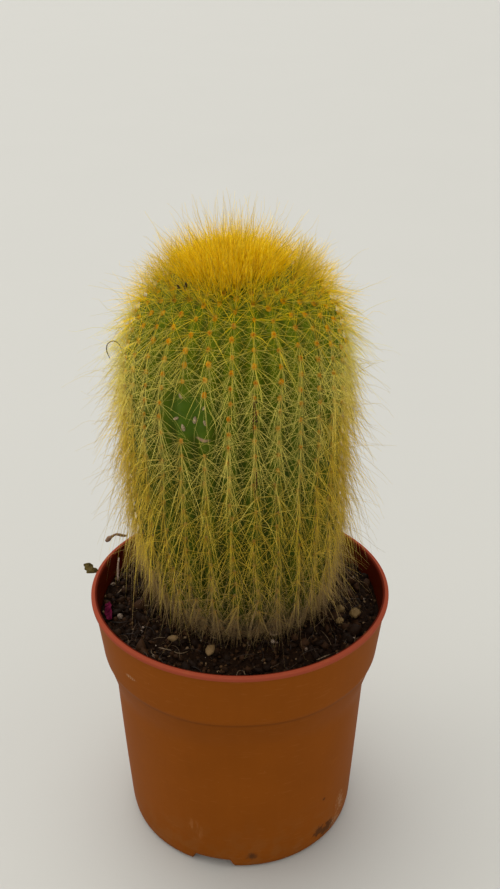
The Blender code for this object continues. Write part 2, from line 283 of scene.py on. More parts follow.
class Finish:
    """A material and the nodes that make it."""

    def __init__(self, name, specular=0.5):
        self.material = bpy.data.materials.new(name)
        self.material.use_nodes = True
        self.tree = self.material.node_tree
        self.shader = self.tree.nodes["Principled BSDF"]
        self.shader.inputs["Specular IOR Level"].default_value = specular
        self.place = self.node("TexCoord", {}, {}, "Object")
        self.x = self.node("SeparateXYZ", {}, {0: self.place}, "X")
        self.y = self.node("SeparateXYZ", {}, {0: self.place}, "Y")
        self.z = self.node("SeparateXYZ", {}, {0: self.place}, "Z")

    def node(self, kind, settings, inputs, output=0):
        """Adds a node: first its settings, then the values or links of its sockets."""
        made = self.tree.nodes.new("ShaderNode" + kind)
        for name, setting in settings.items():
            if name == "stops":
                self.set_stops(made.color_ramp, setting)
            else:
                setattr(made, name, setting)
        for key, value in inputs.items():
            if isinstance(value, Value):
                self.tree.links.new(value.socket, made.inputs[key])
            else:
                made.inputs[key].default_value = value
        return Value(self, made.outputs[output])

    @staticmethod
    def set_stops(ramp, stops):
        """Gives a new ramp its stops, as places and colours."""
        ramp.elements.remove(ramp.elements[-1])
        for i, (place, colour) in enumerate(stops):
            stop = ramp.elements[0] if i == 0 else ramp.elements.new(place)
            stop.position = place
            stop.color = (*colour, 1.0)

    def ramp(self, value, stops):
        """A colour that follows a value through stops."""
        return self.node("ValToRGB", {"stops": stops}, {0: value})

    def noise(self, scale, detail=3.0, roughness=0.55, place=None):
        """Noise from about 0.2 to 0.8, with its scale in swells per metre."""
        inputs = {"Vector": place or self.place, "Scale": scale}
        return self.node("TexNoise", {}, {**inputs, "Detail": detail, "Roughness": roughness})

    def stretched(self, factors):
        """The place on the piece, multiplied along x, y and z."""
        return self.node("VectorMath", {"operation": "MULTIPLY"}, {0: self.place, 1: factors})

    def blend(self, first, second, share, mode="MIX"):
        """A colour between two colours."""
        settings = {"data_type": "RGBA", "blend_type": mode}
        inputs = {0: share, 6: self.colour(first), 7: self.colour(second)}
        return self.node("Mix", settings, inputs, 2)

    @staticmethod
    def colour(value):
        """A colour as a socket takes it."""
        return value if isinstance(value, Value) else (*value[:3], 1.0)

    def scaled(self, colour, factor):
        """A colour made lighter or darker by a value that changes over the surface."""
        grey = self.node("CombineColor", {}, {0: factor, 1: factor, 2: factor})
        return self.blend(colour, grey, 1.0, "MULTIPLY")

    def patch(self, centre, reach, ragged, scale, soft=0.5):
        """1 at a centre, 0 beyond its reach along x, y and z, with a ragged edge."""
        offset = self.node("VectorMath", {"operation": "SUBTRACT"}, {0: self.place, 1: centre})
        shares = self.node("VectorMath", {"operation": "DIVIDE"}, {0: offset, 1: reach})
        far = self.node("VectorMath", {"operation": "LENGTH"}, {0: shares}, "Value")
        far = far + (self.noise(scale, 4.0) - 0.5) * ragged
        return (1.0 - far).rise(0.0, soft)

    def patches(self, stains):
        """The sum of several patches."""
        first, *others = (self.patch(*stain) for stain in stains)
        return sum(others, first)

    def strand(self, output):
        """The strand map: X is a strand's own shade and Y runs from its root to its tip."""
        whole = self.node("UVMap", {"uv_map": "strand"}, {})
        return self.node("SeparateXYZ", {}, {0: whole}, output)

    def finish(self, colour, roughness, height, depth):
        """Links what changes over the surface to the shader; depth is that of the bumps."""
        bump = self.node("Bump", {}, {"Distance": depth, "Height": height})
        sockets = {"Base Color": colour, "Roughness": roughness, "Normal": bump}
        for socket, value in sockets.items():
            self.tree.links.new(value.socket, self.shader.inputs[socket])
        return self.material


# Stains on the pot: centre, reach along x, y and z, raggedness, swells per metre, softness.
LIME_STAINS = [
    ((0.0373, -0.0203, 0.0120), (0.0035, 0.0042, 0.0058), 2.4, 420.0, 0.9),
    ((0.0350, -0.0225, 0.0050), (0.0040, 0.0050, 0.0030), 2.4, 420.0, 0.9),
    ((-0.0355, -0.0360, 0.0815), (0.0036, 0.0030, 0.0009), 0.6, 900.0, 0.5),
    ((0.0424, -0.0259, 0.0734), (0.0020, 0.0030, 0.0007), 0.6, 900.0, 0.5),
]
GRIME_STAINS = [
    ((0.0325, -0.0265, 0.0052), (0.0050, 0.0068, 0.0036), 2.2, 500.0, 0.6),
    ((0.0290, -0.0300, 0.0070), (0.0030, 0.0032, 0.0030), 2.0, 600.0, 0.6),
    ((0.0051, -0.0419, 0.0062), (0.0026, 0.0030, 0.0022), 1.4, 700.0, 0.9),
    ((0.0308, -0.0303, 0.0228), (0.0008, 0.0012, 0.0008), 0.5, 900.0, 0.5),
]
SCRATCHED = ((-0.0152, -0.0400, 0.0172), (0.0050, 0.0020, 0.0062), 0.5, 300.0)


def terracotta_plastic(settings):
    """Satin brown-orange plastic with scuffs, lime film, dust and grit, and painted shade inside
    the pot and under the collar.
    """
    made = Finish("terracotta_plastic", specular=0.018)
    radius = (made.x * made.x + made.y * made.y) ** 0.5
    wall_radius = (made.z - COLLAR_FOOT) * 0.098 + 0.0490
    above_collar_foot = made.z.rise(COLLAR_FOOT + 0.0005, COLLAR_FOOT + 0.0010)
    inside = (radius - wall_radius).rise(0.0001, -0.0001) * above_collar_foot
    lip = made.z.rise(RIM_HEIGHT - 0.0019, RIM_HEIGHT - 0.0012)
    cloud = made.noise(42.0, 4.0)
    streak = made.noise(1.0, 5.0, 0.6, made.stretched((420.0, 420.0, 24.0)))
    speck = made.noise(2600.0, 2.0)
    colour = made.scaled(settings.plastic, 0.90 + 0.20 * cloud)
    colour = made.scaled(colour, 0.96 + 0.08 * streak)
    colour = made.blend(colour, (0.296, 0.055, 0.030), lip * 0.88)
    # Painted shade: the inner wall above the collar's foot is made far darker, for the shade inside
    # the pot.
    colour = made.blend(colour, (0.090, 0.008, 0.002), inside * 0.92)
    # The collar shades the wall under it, most of all in the corner under its ledge.
    ledge = made.z.rise(0.0600, COLLAR_FOOT - 0.0008)
    ledge = ledge * made.z.rise(COLLAR_FOOT + 0.0001, COLLAR_FOOT - 0.0003)
    corner = made.z.rise(COLLAR_FOOT - 0.0018, COLLAR_FOOT - 0.0006)
    colour = made.scaled(colour, 1.0 - 0.07 * ledge - 0.16 * corner * ledge)
    low = made.z.rise(0.030, 0.0) * made.noise(180.0, 4.0).rise(0.42, 0.62)
    colour = made.blend(colour, (0.20, 0.090, 0.030), low * 0.25)
    lime = made.patches(LIME_STAINS).clamped() * made.noise(1700.0, 3.0).rise(0.40, 0.56)
    colour = made.blend(colour, (0.42, 0.28, 0.17), lime * 0.62)
    scratch = made.patch(*SCRATCHED)
    lines = made.noise(1.0, 2.0, 0.5, made.stretched((700.0, 700.0, 150.0))).rise(0.50, 0.66)
    colour = made.blend(colour, (0.32, 0.13, 0.04), scratch * lines * 0.35)
    rubbed = made.noise(1.0, 2.0, 0.5, made.stretched((160.0, 160.0, 1500.0))).rise(0.63, 0.68)
    colour = made.blend(colour, (0.40, 0.15, 0.05), rubbed * 0.10)
    foot_dirt = made.z.rise(0.0032, 0.0002) * made.noise(300.0, 4.0).rise(0.45, 0.60)
    grime = (made.patches(GRIME_STAINS) + foot_dirt * 0.6).clamped()
    colour = made.blend(colour, (0.040, 0.024, 0.014), grime * 0.72)
    dust = speck.rise(0.70, 0.76) * made.noise(90.0).rise(0.45, 0.65)
    colour = made.blend(colour, (0.48, 0.33, 0.20), dust * 0.22)
    roughness = 0.46 + 0.10 * cloud + 0.25 * lime + 0.30 * grime + 0.08 * rubbed
    height = streak * 0.3 + made.noise(1500.0, 3.0) * 0.35 + lime * 0.2 - lines * scratch * 0.3
    return made.finish(colour, roughness, height, 0.00006)


def damp_peat(settings):
    """Near-black damp peat, with dry brown and mineral grains in it."""
    made = Finish("damp_peat", specular=0.06)
    grain = made.noise(1300.0, 5.0, 0.7)
    clump = made.noise(260.0, 4.0, 0.6)
    colour = made.scaled(settings.peat, 0.25 + 1.7 * clump * grain * 2.0)
    colour = made.blend(colour, (0.050, 0.021, 0.0075), grain.rise(0.54, 0.68) * 0.6)
    colour = made.blend(colour, (0.16, 0.11, 0.06), made.noise(2400.0, 2.0).rise(0.70, 0.75) * 0.4)
    roughness = 0.72 + 0.35 * (grain - 0.5)
    return made.finish(colour, roughness, grain + clump * 0.8, 0.0005)


def peat_crumb(settings):
    """Loose crumbs: each has its own shade of brown."""
    made = Finish("peat_crumb", specular=0.10)
    own = made.strand("X")
    grain = made.noise(2200.0, 4.0, 0.7)
    dark = made.scaled(settings.peat, 0.4 + 1.3 * grain)
    colour = made.blend(dark, (0.042, 0.0175, 0.0062), own.rise(0.30, 0.80))
    colour = made.blend(colour, (0.100, 0.052, 0.021), own.rise(0.84, 0.95))
    colour = made.blend(colour, (0.21, 0.135, 0.070), own.rise(0.965, 0.985))
    colour = made.scaled(colour, 0.55 + 0.9 * grain)
    return made.finish(colour, 0.62 + 0.4 * (grain - 0.5), grain, 0.0002)


# Colours of the loose fibres, from the darkest to the palest.
FIBRE_STOPS = [
    (0.0, (0.012, 0.005, 0.002)),
    (0.60, (0.040, 0.018, 0.007)),
    (0.88, (0.100, 0.055, 0.022)),
    (1.0, (0.19, 0.125, 0.065)),
]


def peat_fibre():
    """Dry root and husk fibres, from dark brown to pale straw."""
    made = Finish("peat_fibre")
    colour = made.ramp(made.strand("X"), FIBRE_STOPS)
    colour = made.scaled(colour, 0.7 + 0.6 * made.noise(1800.0, 3.0))
    return made.finish(colour, 0.6 + 0.3 * (made.noise(900.0) - 0.5), made.noise(4000.0), 0.00005)


def perlite():
    """Dusty white grains."""
    made = Finish("perlite", specular=0.1)
    grain = made.noise(3000.0, 3.0)
    colour = made.blend((0.40, 0.31, 0.24), (0.10, 0.060, 0.038), grain.rise(0.36, 0.62))
    return made.finish(colour, 0.75 + 0.3 * (grain - 0.5), grain, 0.0002)


def cream_stone():
    """Small water-worn stones, cream to tan, with brown soil in their pits."""
    made = Finish("cream_stone", specular=0.12)
    grain = made.noise(1900.0, 4.0, 0.65)
    own = made.noise(70.0, 1.0)
    colour = made.blend((0.225, 0.140, 0.060), (0.135, 0.082, 0.032), own.rise(0.35, 0.65))
    # The stones on the right are made darker: partly painted shadow, partly a duller olive tone of
    # their own.
    colour = made.blend(colour, (0.150, 0.094, 0.034), made.x.rise(0.010, 0.020) * 0.85)
    colour = made.scaled(colour, 0.72 + 0.55 * grain)
    pits = grain.rise(0.62, 0.72)
    colour = made.blend(colour, (0.050, 0.028, 0.014), pits * 0.85)
    foot = made.z + (made.noise(800.0, 3.0) - 0.5) * 0.0022
    soiled = foot.rise(SOIL_LEVEL + 0.0024, SOIL_LEVEL + 0.0010)
    colour = made.blend(colour, (0.035, 0.019, 0.009), soiled * 0.85)
    return made.finish(colour, 0.55 + 0.3 * (grain - 0.5), grain, 0.00025)


def cactus_skin(settings):
    """Waxy skin: yellow-green at the crown, deep green below, corky at the soil, with painted shade
    in the furrows.
    """
    made = Finish("cactus_skin", specular=0.08)
    share = (made.z - STEM_WIDEST) / (STEM_WIDEST - SOIL_LEVEL)
    from_axis_x = made.x - AXIS_X - share * share * STEM_BOW
    from_axis_y = made.y - AXIS_Y + share * STEM_LEAN
    angle = made.node("Math", {"operation": "ARCTAN2"}, {0: from_axis_y, 1: from_axis_x})
    wave = (angle * RIBS - RIB_PHASE * RIBS + math.pi / 2).sine()
    furrow = wave.rise(0.2, -1.0)
    swell = made.noise(95.0, 3.0)
    level = made.z + (swell - 0.5) * 0.022
    colour = made.blend(settings.old_skin, settings.young_skin, level.rise(0.150, 0.207))
    colour = made.blend(colour, (0.036, 0.052, 0.002), level.rise(0.150, 0.112) * 0.8)
    # Painted shade: the skin is made darker in the furrows between the ribs.
    colour = made.scaled(colour, 1.0 - 0.42 * furrow)
    fine = made.noise(2600.0, 3.0, 0.6)
    colour = made.scaled(colour, 0.84 + 0.32 * fine)
    pale = made.noise(1500.0, 2.0).rise(0.60, 0.72)
    colour = made.blend(colour, (0.17, 0.20, 0.020), pale * 0.28)
    bare = made.patch((-0.0150, -0.0285, 0.1735), (0.0105, 0.0075, 0.0095), 0.3, 160.0)
    colour = made.blend(colour, (0.048, 0.095, 0.004), bare * 0.80)
    line = made.patch((-0.0106, -0.0312, 0.1668), (0.0036, 0.0050, 0.0009), 0.6, 800.0)
    colour = made.blend(colour, (0.40, 0.24, 0.15), line * 0.75)
    cork = (made.z + (made.noise(240.0, 4.0) - 0.5) * 0.012).rise(0.0975, 0.0870)
    bark = made.scaled((0.115, 0.082, 0.050), 0.5 + made.noise(900.0, 4.0))
    colour = made.blend(colour, bark, cork)
    roughness = 0.42 + 0.16 * (fine - 0.5) + 0.35 * cork - 0.08 * bare
    height = fine * 0.5 + swell * 0.4 + made.noise(700.0, 3.0) * 0.6
    return made.finish(colour, roughness, height, 0.00018)


# Colours of the spines from the soil to the crown, and of the brush on the crown.
STRAW_STOPS = [
    (0.00, (0.32, 0.205, 0.096)),
    (0.11, (0.45, 0.298, 0.122)),
    (0.20, (0.60, 0.415, 0.060)),
    (0.36, (0.74, 0.510, 0.034)),
    (0.53, (0.83, 0.680, 0.142)),
    (0.67, (0.87, 0.750, 0.155)),
    (0.80, (0.75, 0.625, 0.080)),
    (0.90, (0.96, 0.660, 0.006)),
]
GOLDEN_STOPS = [
    (0.0, (0.96, 0.60, 0.001)),
    (0.93, (0.97, 0.63, 0.001)),
    (1.0, (0.97, 0.70, 0.012)),
]


def bristle(name, golden):
    """Spines: golden at the crown, straw on the upper stem, ochre lower, grey-brown at the soil."""
    made = Finish(name, specular=0.08)
    own = made.strand("X")
    along = made.strand("Y")
    level = made.z + (own - 0.5) * 0.026
    share = (level - SOIL_LEVEL) / (STEM_TOP + 0.012 - SOIL_LEVEL)
    # Towards the stem's two sides the colours of the middle come lower, and gold comes sooner.
    aside = (made.x - AXIS_X).size().rise(0.022, 0.033)
    share = share - aside * share.rise(0.85, 0.50) * share.rise(0.27, 0.42) * 0.17
    share = share + aside * share.rise(0.74, 0.82) * 0.06
    colour = made.ramp(share, GOLDEN_STOPS if golden else STRAW_STOPS)
    darkest = 0.76 if golden else 0.62
    shade = made.node("MapRange", {}, {0: own, 1: 0.0, 2: 1.0, 3: darkest, 4: 1.20})
    colour = made.scaled(colour, shade)
    colour = made.scaled(colour, 0.88 + 0.24 * made.noise(900.0, 2.0))
    # Painted light: the straw spines towards the stem's two sides are made lighter, as if lit from
    # the sides.
    if not golden:
        colour = made.scaled(colour, 0.93 + 0.22 * aside)
    brown = own.rise(0.955, 0.985)
    colour = made.blend(colour, (0.20, 0.085, 0.030), brown * 0.75)
    root = along.rise(0.16, 0.02)
    colour = made.blend(colour, (0.60, 0.27, 0.020), root * 0.45)
    tip = along.rise(0.78, 1.0)
    colour = made.blend(colour, (0.94, 0.80, 0.24), tip * (0.08 if golden else 0.20))
    roughness = 0.40 + 0.20 * (own - 0.5)
    return made.finish(colour, roughness, made.noise(5200.0, 2.0), 0.00002)


# Colours of the felt pads from the soil to the crown.
FELT_STOPS = [
    (0.0, (0.16, 0.115, 0.07)),
    (0.14, (0.27, 0.18, 0.070)),
    (0.45, (0.36, 0.22, 0.065)),
    (0.64, (0.60, 0.30, 0.030)),
    (0.78, (0.80, 0.34, 0.004)),
    (1.0, (0.90, 0.44, 0.002)),
]


def areole_felt():
    """Woolly pads: orange-brown high up, ochre lower, grey near the soil."""
    made = Finish("areole_felt", specular=0.05)
    own = made.strand("X")
    middle = made.strand("Y")
    fuzz = made.noise(5200.0, 3.0, 0.7)
    share = (made.z + (own - 0.5) * 0.02 - SOIL_LEVEL) / (STEM_TOP - SOIL_LEVEL)
    colour = made.scaled(made.ramp(share, FELT_STOPS), 0.62 + 0.7 * fuzz)
    colour = made.blend(colour, (0.42, 0.25, 0.030), own.rise(0.45, 0.95) * 0.6)
    red = middle.rise(0.60, 0.95) * share.rise(0.30, 0.75)
    colour = made.blend(colour, (0.44, 0.085, 0.002), red * (0.35 + 0.55 * own))
    return made.finish(colour, 0.85 + 0.2 * (fuzz - 0.5), fuzz, 0.0003)


def dead_areole():
    """Pale dry scars."""
    made = Finish("dead_areole")
    grain = made.noise(2600.0, 3.0)
    colour = made.blend((0.40, 0.29, 0.17), (0.16, 0.12, 0.05), grain.rise(0.38, 0.64))
    return made.finish(colour, 0.75 + 0.2 * (grain - 0.5), grain, 0.0002)


def dry_plant(name, pale, dark):
    """Dead stalk, leaf and twig matter, with fine lengthwise grain."""
    made = Finish(name, specular=0.12)
    grain = made.noise(1.0, 4.0, 0.6, made.stretched((2600.0, 2600.0, 500.0)))
    colour = made.blend(pale, dark, grain.rise(0.40, 0.64))
    colour = made.scaled(colour, 0.75 + 0.5 * made.noise(700.0, 3.0))
    return made.finish(colour, 0.75 + 0.3 * (grain - 0.5), grain, 0.0002)


def pale_floor(settings):
    """A plain matt studio floor."""
    made = Finish("pale_floor")
    tone = made.noise(7.0, 3.0)
    colour = made.scaled(settings.floor, 0.985 + 0.03 * tone)
    return made.finish(colour, 0.62 + 0.05 * (tone - 0.5), made.noise(900.0, 2.0), 0.00003)


# ---------------------------------------------------------------- mesh tools


def swells(points, size, seed):
    """Smooth noise from -1 to 1 at points, one swell per size."""
    cells = points / size
    low = np.floor(cells).astype(np.int64)
    part = cells - low
    part = part * part * (3.0 - 2.0 * part)
    total = np.zeros(len(points))
    for corner in itertools.product((0, 1), repeat=3):
        at = low + np.array(corner)
        mixed = at[:, 0] * 73856093 ^ at[:, 1] * 19349663 ^ at[:, 2] * 83492791 ^ seed * 2654435
        mixed = (mixed ^ (mixed >> 13)) * 1274126177 & 0xFFFFFFFF
        mixed = (mixed ^ (mixed >> 16)) & 0xFFFF
        weight = np.prod(np.where(np.array(corner), part, 1.0 - part), axis=1)
        total += weight * (mixed / 32767.5 - 1.0)
    return total


def unit(vectors):
    """Vectors made 1 long."""
    return vectors / np.maximum(np.linalg.norm(vectors, axis=-1, keepdims=True), 1e-12)


def add_piece(name, shape, material, nodes=()):
    """Adds a mesh that rides on the frame.

    shape is its points, its faces as a list of arrays of corner indices, and its maps, if any.
    """
    points, faces, *maps = shape
    mesh = bpy.data.meshes.new(name)
    corners = np.concatenate([np.asarray(f, dtype=np.int64).ravel() for f in faces])
    totals = np.concatenate([np.full(len(f), np.asarray(f).shape[1]) for f in faces])
    starts = np.concatenate([[0], np.cumsum(totals)[:-1]])
    mesh.vertices.add(len(points))
    mesh.vertices.foreach_set("co", np.asarray(points, dtype=np.float32).ravel())
    mesh.loops.add(len(corners))
    mesh.loops.foreach_set("vertex_index", corners.astype(np.int32))
    mesh.polygons.add(len(totals))
    mesh.polygons.foreach_set("loop_start", starts.astype(np.int32))
    for map_name, places in (maps[0] if maps else {}).items():
        layer = mesh.uv_layers.new(name=map_name)
        layer.uv.foreach_set("vector", np.asarray(places, dtype=np.float32).ravel())
    mesh.update(calc_edges=True)
    mesh.polygons.foreach_set("use_smooth", np.ones(len(totals), dtype=bool))
    if mesh.validate():
        raise RuntimeError(f"{name} has faces that had to be mended")
    mesh.materials.append(material)
    piece = bpy.data.objects.new(name, mesh)
    bpy.context.scene.collection.objects.link(piece)
    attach(piece, "root")
    if nodes:
        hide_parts(*nodes)
    return piece


def cells(count):
    """The low corners and the size of square cells for count things on a map."""
    across = math.ceil(math.sqrt(count))
    index = np.arange(count)
    return np.stack([index % across, index // across], axis=1) / across, 1.0 / across


def strand_corners(own, along):
    """Corners of the strand map: a strand's own shade beside the share of the way to its tip."""
    return np.stack(np.broadcast_arrays(own, along), -1).reshape(-1, 2)


def strands(groups, sides=3):
    """Tapered closed tubes. Each group is paths (n, k, 3), radii (n, k) and shades (n)."""
    corner, size = cells(sum(len(group[0]) for group in groups))
    points, quads, caps = [], [], []
    quad_places, cap_places, quad_shades, cap_shades = [], [], [], []
    first_point = 0
    first_strand = 0
    side = np.arange(sides)
    after = (side + 1) % sides
    for paths, radii, shades in groups:
        n, k = paths.shape[:2]
        along = unit(np.gradient(paths, axis=1))
        spare = np.where(np.abs(along[:, :1, 2:]) > 0.9, [[[1.0, 0, 0]]], [[[0, 0, 1.0]]])
        across = np.cross(along[:, :1], along[:, -1:]) + 0.02 * unit(np.cross(along[:, :1], spare))
        first = unit(np.cross(along, np.cross(across, along)))
        second = np.cross(along, first)
        turn = side * math.tau / sides
        ring = np.cos(turn)[:, None] * first[:, :, None]
        ring = ring + np.sin(turn)[:, None] * second[:, :, None]
        points.append((paths[:, :, None] + radii[:, :, None, None] * ring).reshape(-1, 3))
        rings = np.arange(n)[:, None, None] * k + np.arange(k)[None, :, None]
        start = first_point + rings * sides
        lower = start[:, :-1] + side
        lower_next = start[:, :-1] + after
        quad = np.stack([lower, lower_next, lower_next + sides, lower + sides], axis=-1)
        quads.append(quad.reshape(-1, 4))
        base = start[:, 0] + side[::-1]
        tip = start[:, -1] + side
        caps.append(np.stack([base, tip], axis=1).reshape(-1, sides))
        # The map: a strip per side in the strand's own cell, and small ends above and below.
        low = corner[first_strand : first_strand + n][:, None, None, None, :]
        u = np.stack([side, side + 1, side + 1, side], axis=-1) / sides
        step = np.arange(k - 1)[:, None, None]
        v = np.stack([step, step, step + 1, step + 1], axis=-1) / (k - 1)
        u, v = np.broadcast_arrays(u[None], v[:, 0] * np.ones((1, sides, 1)))
        inner = np.stack([0.06 + 0.88 * u, 0.12 + 0.76 * v], axis=-1)
        quad_places.append((low + size * inner[None]).reshape(-1, 2))
        quad_shades.append(strand_corners(shades[:, None, None, None], v[None]))
        circle = 0.5 + 0.04 * np.stack([np.cos(turn), np.sin(turn)], axis=-1)
        ends = np.stack([circle * (1, 0) + (0, 0.055) + (circle - 0.5) * (0, 1)] * 2)
        ends[1, :, 1] += 0.89
        cap_places.append((low[:, :, 0] + size * ends[None]).reshape(-1, 2))
        root_and_tip = np.repeat([[0.0], [1.0]], sides, axis=1)
        cap_shades.append(strand_corners(shades[:, None, None], root_and_tip[None]))
        first_point += n * k * sides
        first_strand += n
    maps = {
        "OFBake": np.concatenate(quad_places + cap_places),
        "strand": np.concatenate(quad_shades + cap_shades),
    }
    faces = [np.concatenate(quads), np.concatenate(caps)]
    return np.concatenate(points), faces, maps


def ball(level):
    """An icosphere of radius 1 as points and triangles."""
    shape = bmesh.new()
    bmesh.ops.create_icosphere(shape, subdivisions=level, radius=1.0)
    points = np.array([vertex.co[:] for vertex in shape.verts])
    faces = np.array([[vertex.index for vertex in face.verts] for face in shape.faces])
    shape.free()
    return points, faces


def turned_axes(rng, count):
    """Random rotations as (count, 3, 3)."""
    first = unit(rng.normal(size=(count, 3)))
    second = unit(np.cross(first, rng.normal(size=(count, 3))))
    return np.stack([first, second, np.cross(first, second)], axis=1)


def lumps(rng, centres, sizes, shades, level, rough):
    """Irregular grains: one at each centre, with its half sizes (n, 3) and its own shade."""
    shape, triangles = ball(level)
    count = len(centres)
    wave = 1.0 + rough * rng.normal(size=(count, len(shape), 1)).clip(-1.6, 1.6)
    grains = shape[None] * wave * sizes[:, None, :]
    grains = np.einsum("nvi,nij->nvj", grains, turned_axes(rng, count))
    points = (centres[:, None] + grains).reshape(-1, 3)
    faces = (triangles[None] + np.arange(count)[:, None, None] * len(shape)).reshape(-1, 3)
    corner, size = cells(len(faces))
    inset = np.array([(0.08, 0.08), (0.92, 0.08), (0.08, 0.92)])
    places = corner[:, None] + size * inset[None]
    own = np.repeat(shades, len(triangles) * 3)
    maps = {"OFBake": places.reshape(-1, 2), "strand": np.stack([own, own * 0 + 0.5], -1)}
    return points, [faces], maps


def sheet(grid, thickness):
    """A closed thin sheet through a grid of points (a, b, 3)."""
    a, b = grid.shape[:2]
    run = np.gradient(grid, axis=0)
    rise = np.gradient(grid, axis=1)
    normal = unit(np.cross(run, rise))
    half = normal * thickness / 2
    points = np.concatenate([(grid + half).reshape(-1, 3), (grid - half).reshape(-1, 3)])
    at = np.arange(a * b).reshape(a, b)
    top = np.stack([at[:-1, :-1], at[1:, :-1], at[1:, 1:], at[:-1, 1:]], -1).reshape(-1, 4)
    under = top[:, ::-1] + a * b
    edge = np.concatenate([at[:, 0], at[-1, 1:], at[-2::-1, -1], at[0, -2:0:-1]])
    after = np.roll(edge, -1)
    rim = np.stack([after, edge, edge + a * b, after + a * b], -1)
    return points, [np.concatenate([top, under, rim])]


def lathe(profile, steps):
    """Turns radius and height pairs round the z axis. A radius of 0 becomes one point."""
    points, rings = [], []
    turn = np.arange(steps) * math.tau / steps
    for radius, height in profile:
        if radius < 1e-7:
            rings.append(np.full(steps, len(points)))
            points.append((0.0, 0.0, height))
        else:
            rings.append(len(points) + np.arange(steps))
            ring = np.stack([radius * np.cos(turn), radius * np.sin(turn), turn * 0 + height], -1)
            points.extend(map(tuple, ring))
    quads, triangles = [], []
    for low, high in zip(rings, rings[1:]):
        if low[0] == low[1] and high[0] == high[1]:
            continue
        face = np.stack([low, np.roll(low, -1), np.roll(high, -1), high], -1)
        if low[0] == low[1]:
            triangles.append(face[:, [0, 2, 3]])
        elif high[0] == high[1]:
            triangles.append(face[:, [0, 1, 2]])
        else:
            quads.append(face)
    return np.array(points), [np.concatenate(group) for group in (quads, triangles) if group]


def rounded(corners, spacing=0.0025, steps=5):
    """An outline whose corners (radius, height, fillet) are rounded and long runs divided."""
    outline = []
    for i, (x, z, fillet) in enumerate(corners):
        here = np.array([x, z])
        if fillet <= 0 or i in (0, len(corners) - 1):
            outline.append(here)
            continue
        back = np.array(corners[i - 1][:2]) - here
        ahead = np.array(corners[i + 1][:2]) - here
        reach = min(fillet, 0.45 * np.linalg.norm(back), 0.45 * np.linalg.norm(ahead))
        start = here + back / np.linalg.norm(back) * reach
        end = here + ahead / np.linalg.norm(ahead) * reach
        for t in np.linspace(0.0, 1.0, steps + 1):
            outline.append((1 - t) ** 2 * start + 2 * t * (1 - t) * here + t * t * end)
    full = [outline[0]]
    for point in outline[1:]:
        run = np.linalg.norm(point - full[-1])
        parts = max(1, math.ceil(run / spacing))
        last = full[-1]
        full.extend(last + (point - last) * (j + 1) / parts for j in range(parts))
    return [tuple(point) for point in full]


# ---------------------------------------------------------------- the stem's shape


def axis_at(height):
    """The stem's axis at heights, as x and y: it is a little bowed and leans forward."""
    share = (height - STEM_WIDEST) / (STEM_WIDEST - SOIL_LEVEL)
    return AXIS_X + STEM_BOW * share**2, AXIS_Y - STEM_LEAN * share


def crest_radius(height):
    """Radius of the rib crests at a height."""
    above = height > STEM_WIDEST
    reach = np.where(above, STEM_TOP - STEM_WIDEST, STEM_WIDEST - STEM_FOOT)
    power = np.where(above, SHOULDER_POWER, FOOT_POWER) / 2
    share = np.clip(np.abs(height - STEM_WIDEST) / reach, 0.0, 1.0) ** power
    return STEM_RADIUS * np.sqrt(1.0 - share**2)


def furrow_depth(radius, height, angle, rib_depth):
    """Depth of the furrows, which are nearly flat on the bare patch."""
    wave = (1.0 - np.cos(RIBS * (angle - RIB_PHASE))) / 2
    across = np.clip(1.5 - np.abs(angle - BARE_ANGLE) / BARE_HALF_ANGLE, 0.0, 1.0)
    middle = (BARE_LOW + BARE_HIGH) / 2
    along = np.clip(1.5 - np.abs(height - middle) / (BARE_HIGH - middle), 0.0, 1.0)
    flat = 1.0 - 0.70 * across * along
    return rib_depth * wave * flat * (radius / STEM_RADIUS) ** 1.5


class CrestLine:
    """A rib's crest from the crown's middle down to its buried foot, by length along it."""

    def __init__(self, gap):
        """gap is the distance between areoles near the crown; they stand wider lower down."""
        u = np.linspace(math.pi / 2, -math.pi / 2, 2401)
        rise = np.abs(np.sin(u)) ** (2 / np.where(u > 0, SHOULDER_POWER, FOOT_POWER))
        reach = np.where(u > 0, STEM_TOP - STEM_WIDEST, STEM_WIDEST - STEM_FOOT)
        self.radius = STEM_RADIUS * np.cos(u)
        self.radius[[0, -1]] = 0.0
        self.height = STEM_WIDEST + np.sign(u) * rise * reach
        steps = np.hypot(np.diff(self.radius), np.diff(self.height))
        self.length = np.concatenate([[0.0], np.cumsum(steps)])
        spacing = gap * (1.0 + 0.20 * np.clip(self.length / 0.09, 0, 1))
        per_step = steps / spacing[1:]
        self.areoles = np.concatenate([[0.0], np.cumsum(per_step)])  # areoles passed so far

    def at(self, length):
        """The crest's radius and height at lengths from the crown's middle."""
        radius = np.interp(length, self.length, self.radius)
        return radius, np.interp(length, self.length, self.height)

    def slope(self, length):
        """The downward direction along the crest, as radius and height."""
        r0, z0 = self.at(length - 0.0004)
        r1, z1 = self.at(length + 0.0004)
        return unit(np.stack([r1 - r0, z1 - z0], -1))


def rib_offset(rib):
    """How far a rib's areoles are shifted, in gaps: neighbours alternate."""
    return (rib * 0.5 + 0.18 * math.sin(rib * 2.4)) % 1.0


def clear_of_stem(points, rib_depth, gap=0.00012):
    """Moves points out to the stem's surface where they lie under it."""
    axis_x, axis_y = axis_at(points[..., 2])
    x = points[..., 0] - axis_x
    y = points[..., 1] - axis_y
    radius = np.hypot(x, y)
    crest = crest_radius(points[..., 2])
    least = crest - furrow_depth(crest, points[..., 2], np.arctan2(y, x), rib_depth) + gap
    inside = (points[..., 2] < STEM_TOP) & (radius < least) & (radius > 0.004)
    grow = np.where(inside, least / np.maximum(radius, 1e-6), 1.0)
    moved = points.copy()
    moved[..., 0] = axis_x + x * grow
    moved[..., 1] = axis_y + y * grow
    return moved


FOOT_X, FOOT_Y = axis_at(SOIL_LEVEL)


